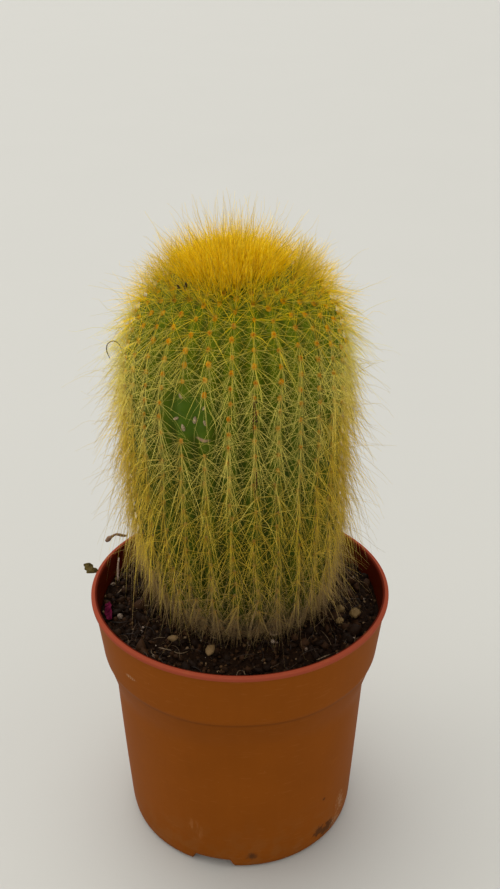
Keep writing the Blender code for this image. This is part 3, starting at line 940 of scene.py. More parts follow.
def soil_height(x, y):
    """Height of the soil's surface."""
    away = np.hypot(x - FOOT_X, y - FOOT_Y)
    level = SOIL_LEVEL + (SOIL_HIGH.z - SOIL_LEVEL) * np.clip(1.6 - away / 0.030, 0.0, 1.0)
    flat = np.stack([x, y, x * 0], -1).reshape(-1, 3)
    rough = 0.0008 * swells(flat, 0.0110, 3) + 0.0007 * swells(flat, 0.0046, 4)
    return level + rough.reshape(np.shape(x))


def in_bare_patch(points, margin=0.0):
    """Whether points are on the bare patch, at least a margin from its edge."""
    axis_x, axis_y = axis_at(points[..., 2])
    angle = np.arctan2(points[..., 1] - axis_y, points[..., 0] - axis_x)
    near = np.abs(angle - BARE_ANGLE) < BARE_HALF_ANGLE - margin / STEM_RADIUS
    return near & (points[..., 2] > BARE_LOW + margin) & (points[..., 2] < BARE_HIGH - margin)


# ---------------------------------------------------------------- pieces


def inner_wall():
    """The pot's inner wall from floor to lip."""
    lean = WALL_THICKNESS * 1.01
    return [(radius - lean, height) for radius, height in POT_WALL]


def make_pot(settings):
    """The pot: lip, collar, thin wall, floor with drain holes, and a notched foot ring."""
    rim = RIM_RADIUS
    lip_foot = RIM_HEIGHT - 0.0016
    wall_top = POT_WALL[3][0]
    # Radius, height and fillet of each corner, from under the floor round the lip to its top.
    corners = [
        (0.0, FLOOR_UNDERSIDE, 0),
        (0.0362, FLOOR_UNDERSIDE, 0.0006),
        (0.0366, 0.0, 0.0006),
        (0.0412, 0.0, 0.0030),
        (0.0421, 0.0040, 0.0030),
        (POT_WALL[1][0], POT_WALL[1][1], 0.0030),
        (POT_WALL[2][0] - 0.0006, POT_WALL[2][1] - 0.0012, 0.0012),
        (POT_WALL[2][0] + 0.0002, POT_WALL[2][1] + 0.0006, 0.0012),
        (wall_top, lip_foot + 0.0001, 0.0003),
        (rim - 0.00005, lip_foot - 0.0001, 0.0006),
        (rim, RIM_HEIGHT, 0.0009),
        (rim - 0.0021, RIM_HEIGHT, 0.0008),
        (wall_top - 0.0014, RIM_HEIGHT - 0.0030, 0.0010),
        (POT_WALL[2][0] - WALL_THICKNESS, POT_WALL[2][1], 0.0020),
        (POT_WALL[1][0] - WALL_THICKNESS, POT_WALL[1][1], 0.0030),
        (0.0407, FLOOR_TOP, 0.0016),
        (0.0, FLOOR_TOP, 0),
    ]
    points, faces = lathe(rounded(corners), 288)
    angle = np.arctan2(points[:, 1], points[:, 0])
    radius = np.hypot(points[:, 0], points[:, 1])
    # Each notch lifts the foot ring, and the wall above it takes up the change.
    for notch in NOTCH_ANGLES:
        away = np.abs((angle - notch + math.pi) % math.tau - math.pi)
        share = np.clip((NOTCH_HALF_ANGLE + NOTCH_SLOPE / 2 - away) / NOTCH_SLOPE, 0.0, 1.0)
        share = share * (radius > FLOOR_RADIUS)
        lifted = NOTCH_HEIGHT + points[:, 2] * (NOTCH_REACH - NOTCH_HEIGHT) / NOTCH_REACH
        low = points[:, 2] < NOTCH_REACH
        points[:, 2] = np.where(low, points[:, 2] * (1 - share) + lifted * share, points[:, 2])
    free = np.clip(points[:, 2] / 0.02, 0, 1) * np.clip((RIM_HEIGHT - points[:, 2]) / 0.02, 0, 1)
    wave = np.sin(5 * angle + points[:, 2] * 38)
    wave = wave + 0.7 * np.sin(9 * angle - points[:, 2] * 70 + 1.3)
    push = 1.0 - settings.wall_wave * (1.7 + wave) * free / np.maximum(radius, 0.02)
    points[:, 0] *= push
    points[:, 1] *= push
    material = terracotta_plastic(settings)
    pot = add_piece("nursery_pot", (points, faces), material, ["pot"])
    cut_drains(pot)
    soften(pot, 40)


def cut_drains(pot):
    """Cuts the drain holes: one in the middle of the floor and six round it."""
    holes = bmesh.new()
    middle = (FLOOR_UNDERSIDE + FLOOR_TOP) / 2
    places = [(0.0, 0.0, MIDDLE_DRAIN)]
    for i in range(6):
        turn = math.radians(DRAIN_PHASE + 60 * i)
        x, y = DRAIN_CIRCLE * math.cos(turn), DRAIN_CIRCLE * math.sin(turn)
        places.append((x, y, OUTER_DRAIN))
    for x, y, size in places:
        made = bmesh.ops.create_cone(
            holes, cap_ends=True, segments=40, radius1=size, radius2=size, depth=0.006
        )
        bmesh.ops.translate(holes, vec=(x, y, middle), verts=made["verts"])
    mesh = bpy.data.meshes.new("drain_cutter")
    holes.to_mesh(mesh)
    holes.free()
    cutter = bpy.data.objects.new("drain_cutter", mesh)
    bpy.context.scene.collection.objects.link(cutter)
    cut = pot.modifiers.new("drains", "BOOLEAN")
    cut.operation = "DIFFERENCE"
    cut.solver = "EXACT"
    cut.object = cutter
    apply_modifiers(pot)
    bpy.data.objects.remove(cutter)


def apply_modifiers(piece):
    """Swaps a piece's mesh for the one its modifiers make."""
    shaped = piece.evaluated_get(bpy.context.evaluated_depsgraph_get())
    mesh = bpy.data.meshes.new_from_object(shaped)
    old = piece.data
    piece.modifiers.clear()
    piece.data = mesh
    bpy.data.meshes.remove(old)


def soften(piece, degrees):
    """Smooth shading that keeps edges sharper than an angle."""
    shape = bmesh.new()
    shape.from_mesh(piece.data)
    for edge in shape.edges:
        edge.smooth = edge.calc_face_angle(0.0) < math.radians(degrees)
    for face in shape.faces:
        face.smooth = True
    shape.to_mesh(piece.data)
    shape.free()


def soil_reach():
    """Radius of the soil's surface, which ends just inside the wall."""
    radii, heights = zip(*inner_wall())
    return float(np.interp(SOIL_LEVEL, heights, radii)) - SOIL_GAP


def make_soil(settings):
    """The body of peat: a rough surface that fits the pot and the stem's foot."""
    wall = inner_wall()
    reach = soil_reach()
    # The rings are close together where the surface shows.
    rings = np.concatenate([[0.0], np.linspace(0.002, 0.020, 8), np.linspace(0.021, reach, 62)])
    profile = [(radius, SOIL_LEVEL) for radius in rings]
    side = [(radius - SOIL_GAP, height) for radius, height in (wall[2], wall[1])]
    base = FLOOR_TOP + SOIL_GAP
    floor = [(0.0396, FLOOR_TOP + 0.0012), (0.0388, base), (0.0, base)]
    points, faces = lathe((profile + side + floor)[::-1], 300)
    top = points[:, 2] > SOIL_LEVEL - 0.0001
    x, y = points[top, 0], points[top, 1]
    surface = soil_height(x, y)
    flat = np.stack([x, y, x * 0], -1)
    surface += 0.00070 * swells(flat, 0.0020, 5) + 0.0004 * swells(flat, 0.0010, 6)
    away = np.hypot(x - FOOT_X, y - FOOT_Y)
    # Under the stem the peat stays below its rounded foot.
    cosine = np.clip(away / STEM_RADIUS, 0.0, 1.0)
    foot = STEM_WIDEST - (STEM_WIDEST - STEM_FOOT) * (1 - cosine**2) ** (1 / FOOT_POWER)
    points[top, 2] = np.minimum(surface, np.where(away < 0.0262, foot - 0.0006, 1.0))
    add_piece("potting_peat", (points, faces), damp_peat(settings), ["soil"])


def ring_places(rng, count, reach):
    """Random places on the soil between the stem and the wall."""
    found = np.empty((0, 2))
    while len(found) < count:
        tries = rng.uniform(-reach, reach, size=(count * 3, 2))
        away = np.hypot(tries[:, 0] - FOOT_X, tries[:, 1] - FOOT_Y)
        keep = (np.hypot(tries[:, 0], tries[:, 1]) < reach - 0.0007) & (away > STEM_CLEARANCE)
        found = np.concatenate([found, tries[keep]])
    return found[:count]


def on_soil(flat, lift):
    """Places on the soil, lifted off it."""
    return np.column_stack([flat, soil_height(flat[:, 0], flat[:, 1]) + lift])


def make_crumbs(settings):
    """Loose crumbs of peat; the palest are kept small."""
    rng = np.random.default_rng(11)
    flat = ring_places(rng, settings.crumb_count, soil_reach())
    size = np.clip(rng.lognormal(math.log(0.00058), 0.62, size=len(flat)), 0.0002, 0.0026)
    sizes = size[:, None] * rng.uniform(0.55, 1.15, size=(len(flat), 3))
    shades = rng.uniform(size=len(flat))
    pale = (shades > 0.84)[:, None]
    sizes = np.where(pale, np.minimum(sizes, 0.00065), sizes)
    centres = on_soil(flat, 0.30 * sizes.mean(axis=1))
    crumbs = lumps(rng, centres, sizes, shades, 1, 0.26)
    add_piece("peat_crumbs", crumbs, peat_crumb(settings))


def make_fibres(settings):
    """Thin bent fibres that lie on the soil."""
    rng = np.random.default_rng(12)
    reach = soil_reach()
    count = settings.fibre_count
    flat = ring_places(rng, count, reach - 0.003)
    turn = rng.uniform(0, math.tau, count)
    length = rng.uniform(0.0025, 0.0110, count)
    bend = rng.normal(0, 0.6, count)
    t = np.linspace(-0.5, 0.5, 8)
    heading = turn[:, None] + bend[:, None] * t * 2
    steps = np.stack([np.cos(heading), np.sin(heading)], -1) * (length[:, None, None] / 7)
    run = np.cumsum(steps, axis=1)
    run = flat[:, None] + run - run[:, 3:4]
    far = np.hypot(run[..., 0], run[..., 1])
    run *= np.where(far > reach - 0.0006, (reach - 0.0006) / far, 1.0)[..., None]
    arch = rng.uniform(0.0001, 0.0014, count)[:, None] * (1 - 4 * t**2)
    z = soil_height(run[..., 0], run[..., 1]) + 0.00030 + arch
    paths = np.concatenate([run, z[..., None]], axis=-1)
    width = rng.uniform(0.00005, 0.00014, count)
    radii = width[:, None] * np.interp(np.abs(t), [0, 0.4, 0.5], [1, 0.8, 0.35])
    fibres = strands([(paths, radii, rng.uniform(size=count) ** 1.5)], 5)
    add_piece("peat_fibres", fibres, peat_fibre())


# White grains that lie in known places, as x, y and size in millimetres.
KNOWN_GRAINS = [
    (-41.9, -9.6, 1.25), (-47.0, 9.5, 1.0), (-33.6, -18.0, 0.75), (-33.2, -15.7, 0.6),
    (22.8, -26.7, 0.8), (39.4, -20.4, 0.8), (11.8, -22.6, 0.9), (13.2, -23.4, 0.6),
    (30.5, -14.0, 0.55), (-20.0, -37.5, 0.5), (20.5, -33.5, 0.6), (8.0, -38.5, 0.5),
    (-28.0, -31.0, 0.6), (33.5, -27.5, 0.55), (44.5, 4.0, 0.6), (41.5, 16.5, 0.5),
]


def make_perlite():
    """White grains: the ones in known places, and sixty small ones anywhere."""
    rng = np.random.default_rng(13)
    known = np.array(KNOWN_GRAINS) / 1000
    loose = ring_places(rng, 60, soil_reach())
    flat = np.concatenate([known[:, :2], loose])
    size = np.concatenate([known[:, 2] * 0.85, rng.uniform(0.00013, 0.00034, len(loose))])
    sizes = size[:, None] * rng.uniform(0.75, 1.15, size=(len(flat), 3))
    centres = on_soil(flat, 0.45 * size + 0.0002)
    grains = lumps(rng, centres, sizes, rng.uniform(size=len(flat)), 2, 0.12)
    add_piece("perlite_grains", grains, perlite())


PEBBLE_NODES = [
    "pebble_left", "pebble_front", "pebble_right_large", "pebble_right_round", "pebble_right_small"
]


def make_stones():
    """The five small stones, each shaped to fill its node's box."""
    material = cream_stone()
    shape, triangles = ball(4)
    for i, node in enumerate(PEBBLE_NODES):
        low, high = (np.array(corner[:]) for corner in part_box(node))
        wave = 1.0 + 0.34 * swells(shape + 9.1 * i, 0.9, i)
        wave += 0.13 * swells(shape + 3.7 * i, 0.40, i)
        wave += 0.04 * swells(shape, 0.15, i)
        points = shape * wave[:, None]
        points *= (high - low) / (points.max(axis=0) - points.min(axis=0))
        points += (low + high) / 2 - (points.max(axis=0) + points.min(axis=0)) / 2
        name = node.replace("pebble", "stone")
        add_piece(name, (points, [triangles]), material, [node])


def make_stem(settings, gap):
    """The ribbed skin, with a swelling under each areole."""
    line = CrestLine(gap)
    per_rib = 12
    columns = RIBS * per_rib
    rows = 275
    length = np.linspace(0.0, line.length[-1], rows)
    radius, height = line.at(length)
    turn = RIB_PHASE + np.arange(columns) * math.tau / columns
    turn = (turn + math.pi) % (math.tau) - math.pi
    grid_radius = np.repeat(radius[1:-1, None], columns, axis=1)
    angle = np.broadcast_to(turn, grid_radius.shape)
    passed = np.interp(length[1:-1], line.length, line.areoles)[:, None]
    rib = np.round(np.arange(columns) / per_rib).astype(int) % RIBS
    offset = np.array([rib_offset(r) for r in range(RIBS)])[rib]
    near_crest = np.cos(RIBS * (angle - RIB_PHASE)).clip(0, 1) ** 0.7
    swell = np.cos(math.tau * (passed - offset)) * near_crest
    full = (grid_radius / STEM_RADIUS) ** 1.5
    slope = line.slope(length[1:-1])
    out_radius, out_height = -slope[:, 1:], slope[:, :1]
    furrow = furrow_depth(grid_radius, height[1:-1, None], angle, settings.rib_depth)
    push = settings.tubercle * (swell - 1.0) * full - furrow
    flat = np.stack([angle * 0.036, np.broadcast_to(height[1:-1, None], angle.shape)], -1)
    rough = np.concatenate([flat, grid_radius[..., None] * 0], -1).reshape(-1, 3)
    push += (0.00010 * swells(rough, 0.0032, 21)).reshape(push.shape) * full
    r = grid_radius + push * out_radius
    z = height[1:-1, None] + push * np.minimum(out_height, 0.35)
    axis_x, axis_y = axis_at(z)
    body = np.stack([axis_x + r * np.cos(angle), axis_y + r * np.sin(angle), z], -1)
    crown, foot = (*axis_at(height[0]), height[0]), (*axis_at(height[-1]), height[-1])
    points = np.concatenate([[crown], body.reshape(-1, 3), [foot]])
    at = 1 + np.arange((rows - 2) * columns).reshape(rows - 2, columns)
    after = np.roll(at, -1, axis=1)
    quads = np.stack([at[:-1], at[1:], after[1:], after[:-1]], -1).reshape(-1, 4)
    top = np.stack([np.zeros(columns, int), at[0], after[0]], -1)
    low = np.stack([np.full(columns, len(points) - 1), after[-1], at[-1]], -1)
    faces = [quads, np.concatenate([top, low])]
    material = cactus_skin(settings)
    add_piece("ribbed_stem", (points, faces), material, ["cactus_stem"])


class Areoles:
    """A rib's areoles: their places, and their outward, upward and sideways directions."""

    def __init__(self, place, normal, up, side):
        self.parts = (place, normal, up, side)
        height = place[:, 2]
        axis_x, axis_y = axis_at(height)
        self.level = (height - SOIL_LEVEL) / (STEM_TOP - SOIL_LEVEL)
        self.right = place[:, 0] - axis_x
        self.back = place[:, 1] - axis_y

    def __len__(self):
        return len(self.level)

    def only(self, picked):
        """The areoles that a row of yes and no picks."""
        return Areoles(*(part[picked] for part in self.parts))

    def turned(self):
        """How far each faces the side or the back: 0 at the front, 1 at the side."""
        behind = np.clip(self.back / STEM_RADIUS, 0, 1)
        return np.abs(self.right / STEM_RADIUS) + 0.6 * behind


# Where a row starts, from the crown's middle, and ends, over the soil, and how far its areoles are
# from an even row, along the rib in metres and round the stem in radians.
ROW_START = 0.0140
ROW_END = 0.0004
STRAY_ALONG = 0.00022
STRAY_ROUND = 0.010


def rib_areoles(rng, line, rib):
    """The areoles along a rib, from the crown down."""
    first = np.interp(ROW_START, line.length, line.areoles)
    last = np.interp(SOIL_LEVEL + ROW_END, line.height[::-1], line.areoles[::-1])
    numbers = np.arange(math.ceil(first), last) + rib_offset(rib)
    numbers = numbers[numbers < last]
    length = np.interp(numbers, line.areoles, line.length)
    length = length + rng.normal(0, STRAY_ALONG, len(numbers))
    angle = RIB_PHASE + rib * math.tau / RIBS + rng.normal(0, STRAY_ROUND, len(numbers))
    radius, height = line.at(length)
    slope = line.slope(length)
    out = np.stack([np.cos(angle), np.sin(angle), angle * 0], -1)
    side = np.stack([-np.sin(angle), np.cos(angle), angle * 0], -1)
    up = -(out * slope[:, :1] + np.array([0, 0, 1.0]) * slope[:, 1:])
    # Outward everywhere, even on the crown and under the stem's widest part.
    normal = np.cross(side, up)
    normal *= np.sign(np.sum(normal * out, axis=1) + 1e-9)[:, None]
    normal = np.where(normal[:, 2:] < -0.95, -normal, normal)
    axis_x, axis_y = axis_at(height)
    place = np.stack([axis_x, axis_y, height], -1) + out * radius[:, None]
    return Areoles(place, normal, up, side)


def fan(rng, areoles, count, knots, turn, lift, length, wiggle, droop=0.0, curl=0.0, start=0.0):
    """Curved spine paths: count of them on each areole, knots points on each.

    turn is the angle round the areole from upward and lift the angle from the skin. droop bends a
    spine down, curl bends it to the skin and wiggle sways it, as shares of its length. start is how
    far its root is from the areole's middle.
    """
    place, normal, up, side = (np.repeat(part, count, axis=0) for part in areoles.parts)
    droop, curl, start = (np.reshape(value, (-1, 1)) for value in (droop, curl, start))
    flat = np.cos(turn)[:, None] * up + np.sin(turn)[:, None] * side
    ahead = np.cos(lift)[:, None] * flat + np.sin(lift)[:, None] * normal
    t = np.linspace(0.0, 1.0, knots)[None, :, None]
    reach = length[:, None, None]
    paths = (place + flat * start + normal * 0.0003)[:, None] + ahead[:, None] * reach * t
    fall = np.array([0.0, 0.0, -1.0]) * droop - normal * curl
    paths = paths + fall[:, None] * reach * t**2
    across = unit(np.cross(ahead, normal + 0.1 * up))
    phase = rng.uniform(0, math.tau, (len(turn), 1, 1))
    bends = rng.uniform(0.6, 1.6, (len(turn), 1, 1))
    sway = np.sin(bends * math.tau * t + phase) - np.sin(phase)
    return paths + across[:, None] * sway * t * reach * wiggle[:, None, None]


def taper(knots, base, tip=0.30):
    """Radii along spines, from each one's base down to a share of it at the tip."""
    t = np.linspace(0.0, 1.0, knots)
    return base[:, None] * (1.0 - (1.0 - tip) * t[None] ** 1.3)


def spine_group(rng, areoles, thick, width, count, knots, tip=0.30, slim=1.0, top=1.0, **shape):
    """One group for strands(): count spines with so many knots on each areole.

    The sway is drawn first, then the widths at the root, as shares of thick, then the shades from
    0 to top. shape is what fan() takes.
    """
    paths = fan(rng, areoles, count, knots, **shape)
    base = thick * rng.uniform(*width, len(paths)) * slim
    return paths, taper(knots, base, tip), rng.uniform(0.0, top, len(paths))


def uprightness(level):
    """How upright the spines of an areole stand: 1 on the youngest, 0 from the shoulder down."""
    return np.clip((level - 0.84) / 0.13, 0, 1)


def radial_spines(rng, areoles, thick, count):
    """Short spines that spread all round, most of them close to the skin, longer to the sides."""
    m = len(areoles) * count
    level = np.repeat(areoles.level, count)
    turn = np.tile(np.arange(count) * math.tau / count, len(areoles)) + rng.normal(0, 0.20, m)
    turn += np.interp(level, [0.3, 0.6, 0.9], [0.70, 0.60, 0.30]) * np.sin(turn)
    upright = uprightness(level)
    lift = (2 + 26 * rng.uniform(0, 1, m) ** 1.6) * (1 - upright)
    lift = np.radians(lift + rng.uniform(8, 70, m) * upright)
    upper = np.clip((level - 0.45) / 0.25, 0, 1)
    length = rng.uniform(0.0054, 0.0096, m) * (0.86 + 0.34 * np.abs(np.sin(turn)))
    length *= (1 + 0.32 * upper) * np.interp(level, [0, 0.25], [0.58, 1.0])
    hanging = np.clip((0.66 - level) / 0.30, 0, 1)
    return spine_group(
        rng, areoles, thick, (0.50, 0.90), count, 5,
        slim=np.interp(level, [0.0, 0.3, 0.6, 0.85, 0.95], [0.80, 0.88, 0.84, 0.80, 0.58]),
        turn=turn,
        lift=lift,
        length=length,
        droop=(0.05 + 0.22 * hanging * rng.uniform(0.2, 1.8, m)) * (1 - upright),
        curl=rng.uniform(0.0, 0.10, m) * (1 - upright),
        start=rng.uniform(0.0002, 0.0006, m),
        wiggle=rng.normal(0, 0.018, m),
    )


def central_spines(rng, areoles, thick, count):
    """Long spines that stand out near the crown and hang down lower on the stem."""
    m = len(areoles) * count
    level = np.repeat(areoles.level, count)
    upright = uprightness(level)
    downward = rng.normal(math.pi, 0.56, m)
    anywhere = rng.uniform(0, math.tau, m)
    turn = np.where(rng.uniform(size=m) < 0.25 + 0.5 * upright, anywhere, downward)
    hanging = np.clip((0.70 - level) / 0.35, 0, 1)
    foot = np.clip((0.42 - level) / 0.42, 0, 1)
    lift = rng.uniform(10, 58, m) * (1 - upright) * (1 - 0.68 * foot)
    lift = np.radians(lift + rng.uniform(30, 84, m) * upright)
    length = rng.uniform(0.0080, 0.0160, m) * (1 + 0.30 * hanging) * (1 - 0.18 * upright)
    length *= 1 - 0.50 * foot
    droop = rng.uniform(0.25, 0.95, m) * np.clip(1.12 - level, 0.0, 1.0) * (1 + 0.70 * hanging)
    return spine_group(
        rng, areoles, thick, (0.65, 1.10), count, 8, 0.25,
        turn=turn,
        lift=lift,
        length=length,
        droop=droop,
        curl=(rng.uniform(0.0, 0.20, m) + 0.22 * foot) * (1 - upright),
        start=rng.uniform(0.0, 0.0003, m),
        wiggle=rng.normal(0, 0.035, m),
    )


def hung_hairs(rng, areoles, thick, count=14):
    """Golden hairs that hang thickly on the lower half of every rib but the front ones."""
    aside = np.clip((areoles.turned() - 0.66) / 0.24, 0, 1)
    share = aside * np.interp(areoles.level, [0.04, 0.12, 0.60, 0.84], [0, 1, 1, 0])
    hung = areoles.only(share > rng.uniform(0.05, 0.6, len(areoles)))
    m = len(hung) * count
    level = np.repeat(hung.level, count)
    bundle = rng.normal(math.pi, 0.62, len(hung))
    return spine_group(
        rng, hung, thick, (0.55, 0.85), count, 7, 0.25,
        turn=np.repeat(bundle, count) + rng.normal(0, 0.72, m),
        lift=np.radians(rng.uniform(8, 50, m) * np.interp(level, [0.1, 0.45], [0.40, 1.0])),
        length=rng.uniform(0.0052, 0.0120, m) * np.interp(level, [0.1, 0.45], [0.52, 1.0]),
        droop=rng.uniform(0.1, 0.8, m),
        curl=rng.uniform(0.0, 0.25, m),
        wiggle=rng.normal(0, 0.08, m),
    )


def shoulder_hairs(rng, areoles, thick, count=10):
    """Golden hairs that stand out from the shoulders, at the sides and the back."""
    shoulder = (areoles.level > 0.58) & (areoles.level < 0.93)
    stand = areoles.only(shoulder & (areoles.turned() > 0.80))
    m = len(stand) * count
    return spine_group(
        rng, stand, thick, (0.50, 0.80), count, 6,
        turn=rng.uniform(0, math.tau, m),
        lift=np.radians(rng.uniform(3, 66, m)),
        length=rng.uniform(0.0060, 0.0120, m),
        droop=rng.uniform(0.0, 0.5, m),
        wiggle=rng.normal(0, 0.05, m),
    )


def crowded_spines(rng, areoles, thick, count=22):
    """Golden spines that crowd the youngest areoles, round the crown."""
    young = areoles.only(areoles.level > 0.925)
    m = len(young) * count
    level = np.repeat(young.level, count)
    return spine_group(
        rng, young, thick, (0.42, 0.72), count, 5,
        turn=rng.uniform(0, math.tau, m),
        lift=np.radians(90 - np.abs(rng.normal(0, 30, m))),
        length=rng.uniform(0.0070, 0.0125, m) * np.interp(level, [0.925, 0.96], [0.75, 1.0]),
        wiggle=rng.normal(0, 0.06, m),
        start=0.0004,
    )


def foot_hairs(rng, areoles, thick, count):
    """Matted fine hairs round the foot, a few of them half as long again."""
    low = areoles.only(areoles.level < 0.15)
    m = len(low) * count
    turn = np.repeat(rng.normal(math.pi, 0.8, len(low)), count) + rng.normal(0, 0.55, m)
    lift = np.repeat(rng.uniform(4, 34, len(low)), count) + rng.normal(0, 7, m)
    return spine_group(
        rng, low, thick, (0.50, 0.80), count, 6,
        turn=turn,
        lift=np.radians(lift),
        length=rng.uniform(0.0028, 0.0066, m) * np.where(rng.uniform(size=m) < 0.22, 1.5, 1.0),
        droop=rng.uniform(0.0, 0.5, m),
        wiggle=rng.normal(0, 0.10, m),
    )


def foot_spines(rng, areoles, thick, count=4):
    """Stiff spines that reach down past the foot and rest on the soil."""
    lowest = areoles.only(areoles.level < 0.17)
    m = len(lowest) * count
    bundle = rng.normal(math.pi, 0.30, len(lowest))
    return spine_group(
        rng, lowest, thick, (0.80, 1.20), count, 6,
        turn=np.repeat(bundle, count) + rng.normal(0, 0.22, m),
        lift=np.radians(rng.uniform(12, 46, m)),
        length=rng.uniform(0.0060, 0.0118, m),
        droop=rng.uniform(0.0, 0.4, m),
        wiggle=rng.normal(0, 0.02, m),
    )


def reaching_hairs(rng, areoles, thick, count=3):
    """Pale hairs that reach out over the soil at the right."""
    angle = np.arctan2(areoles.back, areoles.right)
    low = (areoles.level > 0.03) & (areoles.level < 0.21)
    right = areoles.only(low & (np.abs(angle + 0.30) < 0.36))
    m = len(right) * count
    return spine_group(
        rng, right, thick, (0.75, 1.05), count, 6,
        turn=rng.normal(math.pi, 0.5, m),
        lift=np.radians(rng.uniform(44, 70, m)),
        length=rng.uniform(0.0105, 0.0160, m),
        droop=rng.uniform(0.0, 0.35, m),
        wiggle=rng.normal(0, 0.02, m),
    )


def stray_hairs(rng, areoles, thick):
    """Single hairs that reach far out."""
    chance = np.interp(areoles.level, [0.0, 0.1, 0.3, 0.8], [0.30, 0.12, 0.50, 1.0])
    strays = areoles.only(rng.uniform(size=len(areoles)) < chance)
    m = len(strays)
    level = strays.level
    return spine_group(
        rng, strays, thick, (0.52, 0.82), 1, 9, top=0.5,
        turn=rng.uniform(0, math.tau, m),
        lift=np.radians(rng.uniform(40, 86, m)),
        length=rng.uniform(0.0105, 0.0200, m) * np.interp(level, [0.5, 0.8], [0.94, 1.06]),
        droop=rng.uniform(0.25, 1.1, m) * np.clip(1.15 - level, 0.1, 1.0),
        wiggle=rng.normal(0, 0.07, m),
    )


def rib_spines(rng, areoles, settings):
    """All the groups of spines on a rib, which draw from the same numbers in this order."""
    thick = settings.thickness / 2
    return [
        radial_spines(rng, areoles, thick, settings.radials),
        central_spines(rng, areoles, thick, settings.centrals),
        hung_hairs(rng, areoles, thick),
        shoulder_hairs(rng, areoles, thick),
        crowded_spines(rng, areoles, thick),
        foot_hairs(rng, areoles, thick, 3 * settings.radials // 2),
        foot_spines(rng, areoles, thick),
        reaching_hairs(rng, areoles, thick),
        stray_hairs(rng, areoles, thick),
    ]


# How much of what crosses the bare patch is left out, how far in from its edge, and how high spines
# that come down to the soil stay over it.
BARE_THINNING = 0.74
BARE_MARGIN = 0.0012
OVER_SOIL = 0.0004


def trimmed(rng, group, rib_depth):
    """A group without most of what crosses the bare patch, and clear of stem, soil and pot."""
    paths, radii, shades = group
    left_out = rng.uniform(size=len(paths)) < BARE_THINNING
    crossing = in_bare_patch(paths, BARE_MARGIN).any(axis=1) & left_out
    paths = clear_of_stem(paths[~crossing], rib_depth)
    ground = soil_height(paths[..., 0], paths[..., 1]) + OVER_SOIL
    paths[..., 2] = np.maximum(paths[..., 2], ground)
    return inside_pot(paths), radii[~crossing], shades[~crossing]


def make_bristles(settings, rib_depth):
    """The spines, one piece for each rib, and then the felt pads of all of them."""
    line = CrestLine(settings.areole_gap)
    straw = bristle("straw_bristle", golden=False)
    pads = []
    for rib in range(RIBS):
        rng = np.random.default_rng(100 + rib)
        areoles = rib_areoles(rng, line, rib)
        areoles = areoles.only(~in_bare_patch(areoles.parts[0]))
        pads.append(areoles.parts)
        groups = [trimmed(rng, group, rib_depth) for group in rib_spines(rng, areoles, settings)]
        node = f"spine_row_{rib + 1:02d}"
        name = f"rib_spines_{rib + 1:02d}"
        add_piece(name, strands(groups), straw, [node])
    make_areoles(pads)


def inside_pot(paths, most=0.0490):
    """Keeps what hangs below the rim inside the pot, at a radius of at most 49 mm."""
    radius = np.hypot(paths[..., 0], paths[..., 1])
    low = paths[..., 2] < RIM_HEIGHT + 0.0008
    shrink = np.where(low & (radius > most), most / np.maximum(radius, 1e-6), 1.0)
    moved = paths.copy()
    moved[..., 0] *= shrink
    moved[..., 1] *= shrink
    return moved


# The rings of a felt pad, from its buried edge up: share of its radius, share of its height, how
# far out it is on the map, and how near the pad's middle. One point closes the pad at its tip.
PAD_RINGS = [
    (1.0, -0.35, 1.0, 0.0),
    (1.0, 0.10, 0.86, 0.25),
    (0.80, 0.52, 0.62, 0.6),
    (0.45, 0.80, 0.34, 0.85),
]
PAD_TIP = 0.92


def make_areoles(pads):
    """Felt pads: a low lumpy dome with a ring of wool at each areole."""
    rng = np.random.default_rng(41)
    place, normal, up, side = (np.concatenate([rib[i] for rib in pads]) for i in range(4))
    sides = 9
    turn = np.arange(sides) * math.tau / sides
    count = len(place)
    size = rng.uniform(0.00060, 0.00092, count)
    size *= np.interp(place[:, 2], [SOIL_LEVEL, 0.140, 0.178], [0.55, 0.62, 1.0])
    local = [
        (share * math.cos(a), share * math.sin(a), rise)
        for share, rise, _, _ in PAD_RINGS for a in turn
    ]
    local = np.array(local + [(0, 0, PAD_TIP)])
    shape = local[None] * (1 + 0.13 * rng.normal(size=(count, len(local), 1)).clip(-2, 2))
    shape = shape * size[:, None, None] * np.array([0.9, 1.15, 0.75])
    offset = shape[..., :1] * side[:, None] + shape[..., 1:2] * up[:, None]
    points = place[:, None] + (offset + shape[..., 2:] * normal[:, None])
    at = np.arange(len(PAD_RINGS) * sides).reshape(-1, sides)
    after = np.roll(at, -1, axis=1)
    quads = np.stack([at[:-1], after[:-1], after[1:], at[1:]], -1).reshape(-1, 4)
    tip = np.stack([at[-1], after[-1], np.full(sides, len(local) - 1)], -1)
    shift = np.arange(count)[:, None, None] * len(local)
    quads = (quads[None] + shift).reshape(-1, 4)
    tips = (tip[None] + shift).reshape(-1, 3)
    base = (at[0][::-1][None] + shift[:, 0]).reshape(-1, sides)
    corner, cell = cells(count)
    in_ring = [sides] * len(PAD_RINGS) + [1]
    on_map = np.repeat([ring[2] for ring in PAD_RINGS] + [0], in_ring)
    spread = 0.5 + 0.46 * local[:, :2] * on_map[:, None]
    place_of = (corner[:, None] + cell * spread[None]).reshape(-1, 2)
    middle = np.tile(np.repeat([ring[3] for ring in PAD_RINGS] + [1.0], in_ring), count)
    own = np.repeat(rng.uniform(size=count), len(local))
    corners = np.concatenate([quads.ravel(), tips.ravel(), base.ravel()])
    maps = {"OFBake": place_of[corners], "strand": np.stack([own, middle], -1)[corners]}
    points = points.reshape(-1, 3)
    faces = [quads, tips, base]
    add_piece("areole_pads", (points, faces, maps), areole_felt())


# How far the brush's middle is from the stem's axis, and the shares of its bristles that stand
# taller than the rest and that stray far out.
BRUSH_SHIFT = (-0.0026, -0.0015)
TALL_SHARE = 0.16
STRAY_SHARE = 0.024


